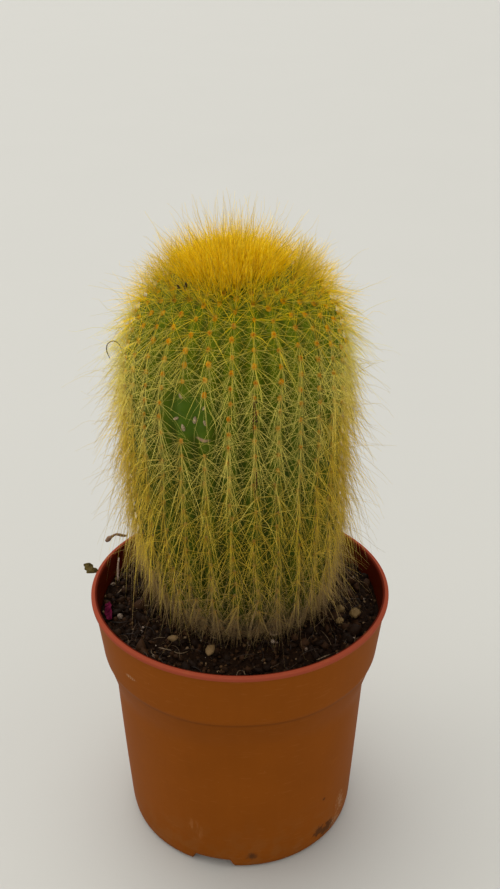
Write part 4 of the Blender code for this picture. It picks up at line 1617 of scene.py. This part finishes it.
def make_crown(settings):
    """The dense upright golden brush, set a little to the left and front of the stem's middle."""
    rng = np.random.default_rng(51)
    count = settings.brush_count
    middle = np.array(axis_at(STEM_TOP)) + np.array(BRUSH_SHIFT)
    # Roots: denser towards the middle, within a patch that is a little out of round.
    share = rng.uniform(0, 1, count) ** 0.60
    turn = rng.uniform(0, math.tau, count)
    reach = settings.brush_reach * (1 + 0.05 * np.sin(3 * turn + 0.6) + 0.03 * np.sin(7 * turn))
    reach *= 1 + 0.18 * np.clip(-np.sin(turn), 0, 1) ** 2 + 0.10 * np.clip(np.sin(turn), 0, 1)
    reach *= 1 + 0.15 * rng.normal(size=count).clip(-1.0, 2.6)
    out = np.stack([np.cos(turn), np.sin(turn)], -1)
    flat = middle + out * (share * reach)[:, None]
    away = np.hypot(flat[:, 0] - middle[0], flat[:, 1] - middle[1])
    cosine = np.clip(away / STEM_RADIUS, 0, 0.999)
    top = STEM_WIDEST + (STEM_TOP - STEM_WIDEST) * (1 - cosine**2) ** (1 / SHOULDER_POWER)
    roots = np.column_stack([flat, top - 0.0008])
    # Directions: upright in the middle, leaning out towards the edge, least of all in front.
    front = np.clip(-out[:, 1], 0, 1) * share
    lean = share**1.35 * (1.45 - 0.80 * front) + rng.normal(0, 0.17, count)
    drift = rng.normal(0, 0.14, count)
    ahead = out * lean[:, None] + np.stack([-out[:, 1], out[:, 0]], -1) * drift[:, None]
    ahead = unit(np.column_stack([ahead, np.ones(count)]))
    # Lengths: short and tufted, with some tall ones and a few strays.
    tufted = 1.0 + 0.16 * swells(np.column_stack([flat, flat[:, 0] * 0]), 0.0034, 52)
    length = rng.uniform(0.0046, 0.0092, count) * tufted * (1.0 - 0.12 * front)
    long = rng.uniform(size=count) < TALL_SHARE + TALL_SHARE * share
    length = np.where(long, 0.0085 + 0.0080 * rng.uniform(0, 1, count) ** 1.8, length)
    stray = rng.uniform(size=count) < STRAY_SHARE
    length = np.where(stray, rng.uniform(0.0155, 0.0245, count), length)
    # Paths: each bends a little back to the middle and sways.
    knots = 6
    t = np.linspace(0, 1, knots)[None, :, None]
    reach = length[:, None, None]
    paths = roots[:, None] + ahead[:, None] * reach * t
    inward = np.column_stack([-out * (0.14 * share)[:, None], np.zeros(count)])
    paths = paths + inward[:, None] * reach * t**2
    phase = rng.uniform(0, math.tau, (count, 1, 1))
    sway = np.sin(5.0 * t + phase) - np.sin(phase)
    across = unit(np.cross(ahead, rng.normal(size=(count, 3))))
    amount = np.where(long | stray, 0.07, 0.030)[:, None, None]
    paths = paths + across[:, None] * sway * t * reach * amount
    base = rng.uniform(0.00007, 0.00013, count) * np.where(long | stray, 0.70, 1.0)
    radii = taper(knots, base, 0.35)
    shades = rng.uniform(0, 0.95, count)
    # The few brown ones have a shade near the top of the range.
    shades = np.where(long & (rng.uniform(size=count) < 0.16), 0.975, shades)
    shades = np.where(stray & (rng.uniform(size=count) < 0.65), 0.973, shades)
    gold = bristle("golden_bristle", golden=True)
    brush = strands([(paths, radii, shades)])
    add_piece("crown_brush", brush, gold, ["crown_tuft"])


def tube(points, radii, knots=None):
    """A group for strands(): one smooth tube through a few points."""
    knots = knots or len(points) * 5
    points = np.array(points, dtype=float)
    at = np.linspace(0, len(points) - 1, knots)
    index = np.clip(at.astype(int), 0, len(points) - 2)
    t = (at - index)[:, None]
    before, beyond = 2 * points[:1] - points[1:2], 2 * points[-1:] - points[-2:-1]
    padded = np.concatenate([before, points, beyond])
    p0, p1, p2, p3 = (padded[index + i] for i in range(4))
    square = (2 * p0 - 5 * p1 + 4 * p2 - p3) * t**2
    cube = (3 * p1 - p0 - 3 * p2 + p3) * t**3
    path = 0.5 * (2 * p1 + (p2 - p0) * t + square + cube)
    width = np.interp(at, np.arange(len(radii)), radii)
    return path[None], width[None], np.array([0.5])


def make_stalk():
    """The dead stalk that leans on the inner wall."""
    low, high = (np.array(corner[:]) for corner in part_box("dry_stalk"))
    x = (low[0] + high[0]) / 2
    z = np.linspace(low[2] + 0.0001, high[2] - 0.0002, 5)
    y = np.linspace(low[1] + 0.0005, high[1] - 0.0005, 5)
    path = [(x + dx, yy, zz) for dx, yy, zz in zip((0.0, -0.0002, -0.0003, -0.0002, 0.0), y, z)]
    radii = [0.00044, 0.00040, 0.00042, 0.00038, 0.00034]
    points, faces, maps = strands([tube(path, radii)], 8)
    points += np.random.default_rng(61).normal(0, 0.00003, points.shape)
    brown = dry_plant("dry_stalk", (0.50, 0.37, 0.29), (0.24, 0.15, 0.11))
    add_piece("dead_stalk", (points, faces, maps), brown, ["dry_stalk"])


def crumpled(corner, run, rise, steps, seed, depth):
    """Points of a crumpled scrap: run along its middle from a corner, and rise across it."""
    a, b = steps
    u = np.linspace(0, 1, a)[:, None, None]
    v = np.linspace(-0.5, 0.5, b)[None, :, None]
    width = 0.35 + 0.65 * np.sin(math.pi * np.clip(u * 0.9 + 0.08, 0, 1))
    grid = np.array(corner) + u * np.array(run) + v * width * np.array(rise)
    across = unit(np.cross(run, rise))
    flat = grid.reshape(-1, 3)
    wave = swells(flat, 0.0026, seed) + 0.5 * swells(flat, 0.0011, seed + 1)
    return grid + across * (depth * wave).reshape(a, b, 1)


def make_leaf_scrap():
    """A scrap of dead leaf that hangs over the rim."""
    brown = dry_plant("dead_leaf", (0.120, 0.085, 0.022), (0.045, 0.034, 0.010))
    run, rise = (-0.0050, 0.0030, 0.0004), (0.0004, -0.0010, -0.0030)
    leaf = crumpled((-0.0518, 0.0066, 0.0950), run, rise, (18, 10), 71, 0.0020)
    add_piece("dead_leaf_scrap", sheet(leaf, 0.00022), brown)


def make_rim_twig():
    """A bit of twig that lies across the rim."""
    twig = dry_plant("rim_twig", (0.27, 0.165, 0.105), (0.12, 0.065, 0.040))
    path = [
        (-0.0513, 0.0268, 0.0950), (-0.0504, 0.0272, 0.0958), (-0.0494, 0.0277, 0.0964),
        (-0.0480, 0.0282, 0.0971), (-0.0462, 0.0288, 0.0966), (-0.0438, 0.0294, 0.0957),
    ]
    radii = [0.0006, 0.00100, 0.00050, 0.00042, 0.00062, 0.00034]
    points, faces, maps = strands([tube(path, radii)], 10)
    points += 0.00016 * swells(points, 0.0009, 72)[:, None]
    add_piece("rim_twig_scrap", (points, faces, maps), twig)


def make_pink_shred():
    """A shred of dark pink matter on the soil."""
    pink = dry_plant("pink_shred", (0.150, 0.002, 0.036), (0.060, 0.003, 0.016))
    run, rise = (-0.0018, 0.0090, 0.0010), (0.0026, 0.0002, 0.0016)
    shred = crumpled((-0.0452, -0.0120, 0.0874), run, rise, (20, 10), 73, 0.0012)
    add_piece("pink_shred", sheet(shred, 0.00025), pink)


# Bleached sticks on the soil, as three places along each and its radius.
STICKS = [
    ([(-0.0366, -0.0062, 0.0878), (-0.0342, -0.0049, 0.0883), (-0.0322, -0.0043, 0.0879)], 0.00030),
    ([(-0.0445, 0.0035, 0.0874), (-0.0430, 0.0060, 0.0879), (-0.0428, 0.0085, 0.0874)], 0.00024),
    ([(0.0262, -0.0330, 0.0874), (0.0290, -0.0318, 0.0879), (0.0309, -0.0300, 0.0875)], 0.00018),
    ([(-0.0265, -0.0278, 0.0876), (-0.0245, -0.0290, 0.0880), (-0.0222, -0.0292, 0.0876)], 0.00022),
]


def make_pale_litter():
    """Bleached sticks and a curl on the soil."""
    pale = dry_plant("bleached_stick", (0.26, 0.185, 0.115), (0.12, 0.075, 0.045))
    groups = [tube(path, [0.6 * r, r, 0.5 * r], knots=12) for path, r in STICKS]
    curl = [
        (0.0125 + 0.0016 * math.cos(a), -0.0205 + 0.0013 * math.sin(a), 0.0880 + 0.00022 * a)
        for a in np.linspace(0.3, 5.2, 9)
    ]
    groups.append(tube(curl, [0.0003] * 4 + [0.00042] * 3 + [0.0003] * 2, knots=24))
    points, faces, maps = strands(groups, 8)
    points += 0.00006 * swells(points, 0.0007, 75)[:, None]
    add_piece("bleached_litter", (points, faces, maps), pale)


# Dark specks caught in the spines, as place and size in millimetres.
SPECKS = [
    (-15.0, -17.0, 210.6, 1.5), (-17.0, -17.8, 210.8, 1.0), (3.6, -15.6, 211.6, 0.8),
    (5.7, -31.6, 180.3, 0.7), (5.7, -31.9, 174.3, 0.8),
]

# Dead brown spines down the front, as x, height of the root and length.
DEAD_SPINES = [
    (0.0052, 0.1830, 0.0060), (0.0056, 0.1815, 0.0072), (0.0060, 0.1790, 0.0066),
    (0.0054, 0.1765, 0.0070), (0.0058, 0.1578, 0.0064), (0.0062, 0.1560, 0.0076),
    (0.0056, 0.1535, 0.0070),
]


def make_caught_matter():
    """Dark specks in the spines, the dead brown spines, and one dry curled hair."""
    rng = np.random.default_rng(81)
    dark = dry_plant("dark_speck", (0.050, 0.030, 0.018), (0.012, 0.008, 0.006))
    spots = np.array(SPECKS) / 1000
    sizes = spots[:, 3:] * np.array([[1.05, 0.36, 0.30]])
    specks = lumps(rng, spots[:, :3], sizes, rng.uniform(size=len(spots)), 2, 0.12)
    add_piece("caught_specks", specks, dark)

    rust = dry_plant("dead_spine", (0.120, 0.045, 0.012), (0.045, 0.016, 0.006))
    drop = np.array([0.0, 0.5, 1.0])
    off_skin = np.array([0.0006, 0.0014, 0.0010])
    dead = []
    for x, z, length in DEAD_SPINES:
        crest = crest_radius(z - length * drop) + off_skin
        middle_x, middle_y = axis_at(z)
        side = x + rng.normal(0, 0.00022, 3)
        out = middle_y - np.sqrt(crest**2 - (side - middle_x) ** 2)
        path = np.column_stack([side, out, z - length * drop])
        dead.append(tube(path, [0.00016, 0.00014, 0.00006]))
    add_piece("dead_spines", strands(dead, 5), rust)

    hair = [
        (-0.0366, -0.0030, 0.1835), (-0.0374, -0.0034, 0.1867), (-0.0392, -0.0030, 0.1878),
        (-0.0411, -0.0034, 0.1870), (-0.0415, -0.0036, 0.1847), (-0.0406, -0.0034, 0.1818),
    ]
    radii = [0.00010, 0.00012, 0.00014, 0.00017, 0.00016, 0.00008]
    add_piece("dry_curled_hair", strands([tube(hair, radii)], 6), dark)


# Pale scars on the bare patch, as place and size in millimetres, and turn in degrees.
SCARS = [
    (-18.4, -27.2, 172.5, 1.0, 25), (-16.0, -28.4, 170.1, 1.25, 100),
    (-16.4, -27.8, 180.4, 0.9, 120), (-12.5, -29.6, 173.1, 1.25, 80),
    (-9.4, -30.2, 177.7, 0.8, 60), (-9.2, -30.4, 172.8, 0.9, 110),
]


def make_scars(rib_depth):
    """Flat lumps of dry felt where the bare patch has lost its spines."""
    shape, triangles = ball(3)
    marks, all_faces = [], []
    for i, (x, y, z, size, turn) in enumerate(SCARS):
        x, y, z, size = (length / 1000 for length in (x, y, z, size))
        axis_x, axis_y = axis_at(z)
        angle = math.atan2(y - axis_y, x - axis_x)
        out = np.array([math.cos(angle), math.sin(angle), 0])
        side = np.array([-math.sin(angle), math.cos(angle), 0])
        tilt = math.radians(turn)
        long = side * math.cos(tilt) + np.array([0, 0, 1]) * math.sin(tilt)
        short = np.cross(out, long)
        crest = float(crest_radius(np.array(z)))
        skin = crest - float(furrow_depth(crest, z, angle, rib_depth))
        centre = np.array([axis_x, axis_y, z]) + out * (skin - 0.00022)
        lumpy = shape * (1 + 0.16 * swells(shape + 5.3 * i, 0.7, 80 + i))[:, None]
        marks.append(centre + lumpy @ np.array([long * size, short * size * 0.46, out * 0.00062]))
        all_faces.append(triangles + i * len(shape))
    scars = np.concatenate(marks), [np.concatenate(all_faces)]
    add_piece("stem_scars", scars, dead_areole())


# The suns: name, the direction each shines from, strength, spread in degrees and colour.
SUNS = [
    ("overhead", (-0.25, 0.40, 1.0), 1.80, 70, (1.0, 0.98, 0.93)),
    ("front_fill", (0.15, -1.0, 0.75), 0.40, 60, (1.0, 0.98, 0.95)),
    ("left_fill", (-1.0, -0.25, 0.45), 0.50, 50, (1.0, 0.96, 0.88)),
    ("right_fill", (1.0, -0.25, 0.45), 0.37, 50, (1.0, 0.96, 0.88)),
]
CAMERA_PLACE = (0.01012, -0.3189, 0.3131)
CAMERA_TURN = (math.radians(90 - 27.046), 0.0, 0.02065)


def make_stage(settings):
    """The floor, the lights and the camera."""
    shape = bmesh.new()
    bmesh.ops.create_grid(shape, x_segments=24, y_segments=24, size=7.0)
    mesh = bpy.data.meshes.new("studio_floor")
    shape.to_mesh(mesh)
    shape.free()
    mesh.materials.append(pale_floor(settings))
    floor = bpy.data.objects.new("studio_floor", mesh)
    bpy.context.scene.collection.objects.link(floor)

    world = bpy.data.worlds.new("soft_room")
    world.use_nodes = True
    sky = world.node_tree.nodes["Background"]
    sky.inputs["Color"].default_value = (1.0, 0.985, 0.955, 1.0)
    sky.inputs["Strength"].default_value = settings.sky_strength
    bpy.context.scene.world = world

    for sun in SUNS:
        add_sun(*sun)

    lens = bpy.data.cameras.new("camera")
    lens.sensor_fit = "VERTICAL"
    lens.angle_y = settings.view_angle
    lens.clip_start = 0.01
    lens.clip_end = 30.0
    camera = bpy.data.objects.new("camera", lens)
    camera.location = CAMERA_PLACE
    camera.rotation_euler = CAMERA_TURN
    bpy.context.scene.collection.objects.link(camera)
    bpy.context.scene.camera = camera
    bpy.context.scene.view_settings.view_transform = "Standard"


def add_sun(name, source, strength, spread, colour):
    """A soft light from one direction, so broad that it casts no hard edge."""
    lamp = bpy.data.lights.new(name, "SUN")
    lamp.energy = strength
    lamp.angle = math.radians(spread)
    lamp.color = colour
    light = bpy.data.objects.new(name, lamp)
    light.rotation_euler = Vector(source).to_track_quat("Z", "Y").to_euler()
    light.location = Vector(source)
    bpy.context.scene.collection.objects.link(light)


# ---------------------------------------------------------------- operators


class CACTUS_OT_pot(bpy.types.Operator):
    """Builds the plastic nursery pot"""

    bl_idname = "cactus.pot"
    bl_label = "Pot"

    def execute(self, context):
        make_pot(context.scene.cactus_pot)
        return {"FINISHED"}


class CACTUS_OT_soil(bpy.types.Operator):
    """Builds the peat with its crumbs, fibres and white grains"""

    bl_idname = "cactus.soil"
    bl_label = "Soil"

    def execute(self, context):
        settings = context.scene.cactus_pot
        make_soil(settings)
        make_crumbs(settings)
        make_fibres(settings)
        make_perlite()
        return {"FINISHED"}


class CACTUS_OT_stones(bpy.types.Operator):
    """Builds the five small stones on the soil"""

    bl_idname = "cactus.stones"
    bl_label = "Stones"

    def execute(self, context):
        make_stones()
        return {"FINISHED"}


class CACTUS_OT_stem(bpy.types.Operator):
    """Builds the ribbed stem"""

    bl_idname = "cactus.stem"
    bl_label = "Stem"

    def execute(self, context):
        make_stem(context.scene.cactus_stem, context.scene.cactus_bristles.areole_gap)
        return {"FINISHED"}


class CACTUS_OT_bristles(bpy.types.Operator):
    """Builds the spines and felt pads along every rib"""

    bl_idname = "cactus.bristles"
    bl_label = "Rib spines"

    def execute(self, context):
        make_bristles(context.scene.cactus_bristles, context.scene.cactus_stem.rib_depth)
        return {"FINISHED"}


class CACTUS_OT_crown(bpy.types.Operator):
    """Builds the golden brush on the crown"""

    bl_idname = "cactus.crown"
    bl_label = "Crown brush"

    def execute(self, context):
        make_crown(context.scene.cactus_bristles)
        return {"FINISHED"}


class CACTUS_OT_litter(bpy.types.Operator):
    """Builds the dead stalk and the scraps of dry matter"""

    bl_idname = "cactus.litter"
    bl_label = "Dry litter"

    def execute(self, context):
        make_stalk()
        make_leaf_scrap()
        make_rim_twig()
        make_pink_shred()
        make_pale_litter()
        make_caught_matter()
        make_scars(context.scene.cactus_stem.rib_depth)
        return {"FINISHED"}


class CACTUS_OT_stage(bpy.types.Operator):
    """Sets up the floor, the lights and the camera"""

    bl_idname = "cactus.stage"
    bl_label = "Studio"

    def execute(self, context):
        make_stage(context.scene.cactus_studio)
        return {"FINISHED"}


PIECE_OPERATORS = [
    CACTUS_OT_pot,
    CACTUS_OT_soil,
    CACTUS_OT_stones,
    CACTUS_OT_stem,
    CACTUS_OT_bristles,
    CACTUS_OT_crown,
    CACTUS_OT_litter,
    CACTUS_OT_stage,
]


class CACTUS_PT_panel(bpy.types.Panel):
    """Lists the pieces and their settings"""

    bl_idname = "CACTUS_PT_panel"
    bl_label = "Potted cactus"
    bl_space_type = "VIEW_3D"
    bl_region_type = "UI"
    bl_category = "Cactus"

    def draw(self, context):
        layout = self.layout
        for name, group in SETTINGS.items():
            box = layout.box()
            box.label(text=group.__doc__)
            for key in group.__annotations__:
                box.prop(getattr(context.scene, name), key)
        column = layout.column(align=True)
        for operator in PIECE_OPERATORS:
            column.operator(operator.bl_idname)


SETTINGS = {
    "cactus_pot": PotSettings,
    "cactus_stem": StemSettings,
    "cactus_bristles": BristleSettings,
    "cactus_studio": StudioSettings,
}


def register():
    for group in SETTINGS.values():
        bpy.utils.register_class(group)
    for operator in PIECE_OPERATORS:
        bpy.utils.register_class(operator)
    bpy.utils.register_class(CACTUS_PT_panel)
    for name, group in SETTINGS.items():
        setattr(bpy.types.Scene, name, PointerProperty(type=group))


def unregister():
    for name in SETTINGS:
        delattr(bpy.types.Scene, name)
    bpy.utils.unregister_class(CACTUS_PT_panel)
    for operator in reversed(PIECE_OPERATORS):
        bpy.utils.unregister_class(operator)
    for group in reversed(SETTINGS.values()):
        bpy.utils.unregister_class(group)


def main():
    register()
    bpy.ops.cactus.pot()
    bpy.ops.cactus.soil()
    bpy.ops.cactus.stones()
    bpy.ops.cactus.stem()
    bpy.ops.cactus.bristles()
    bpy.ops.cactus.crown()
    bpy.ops.cactus.litter()
    bpy.ops.cactus.stage()


if __name__ == "__main__":
    main()
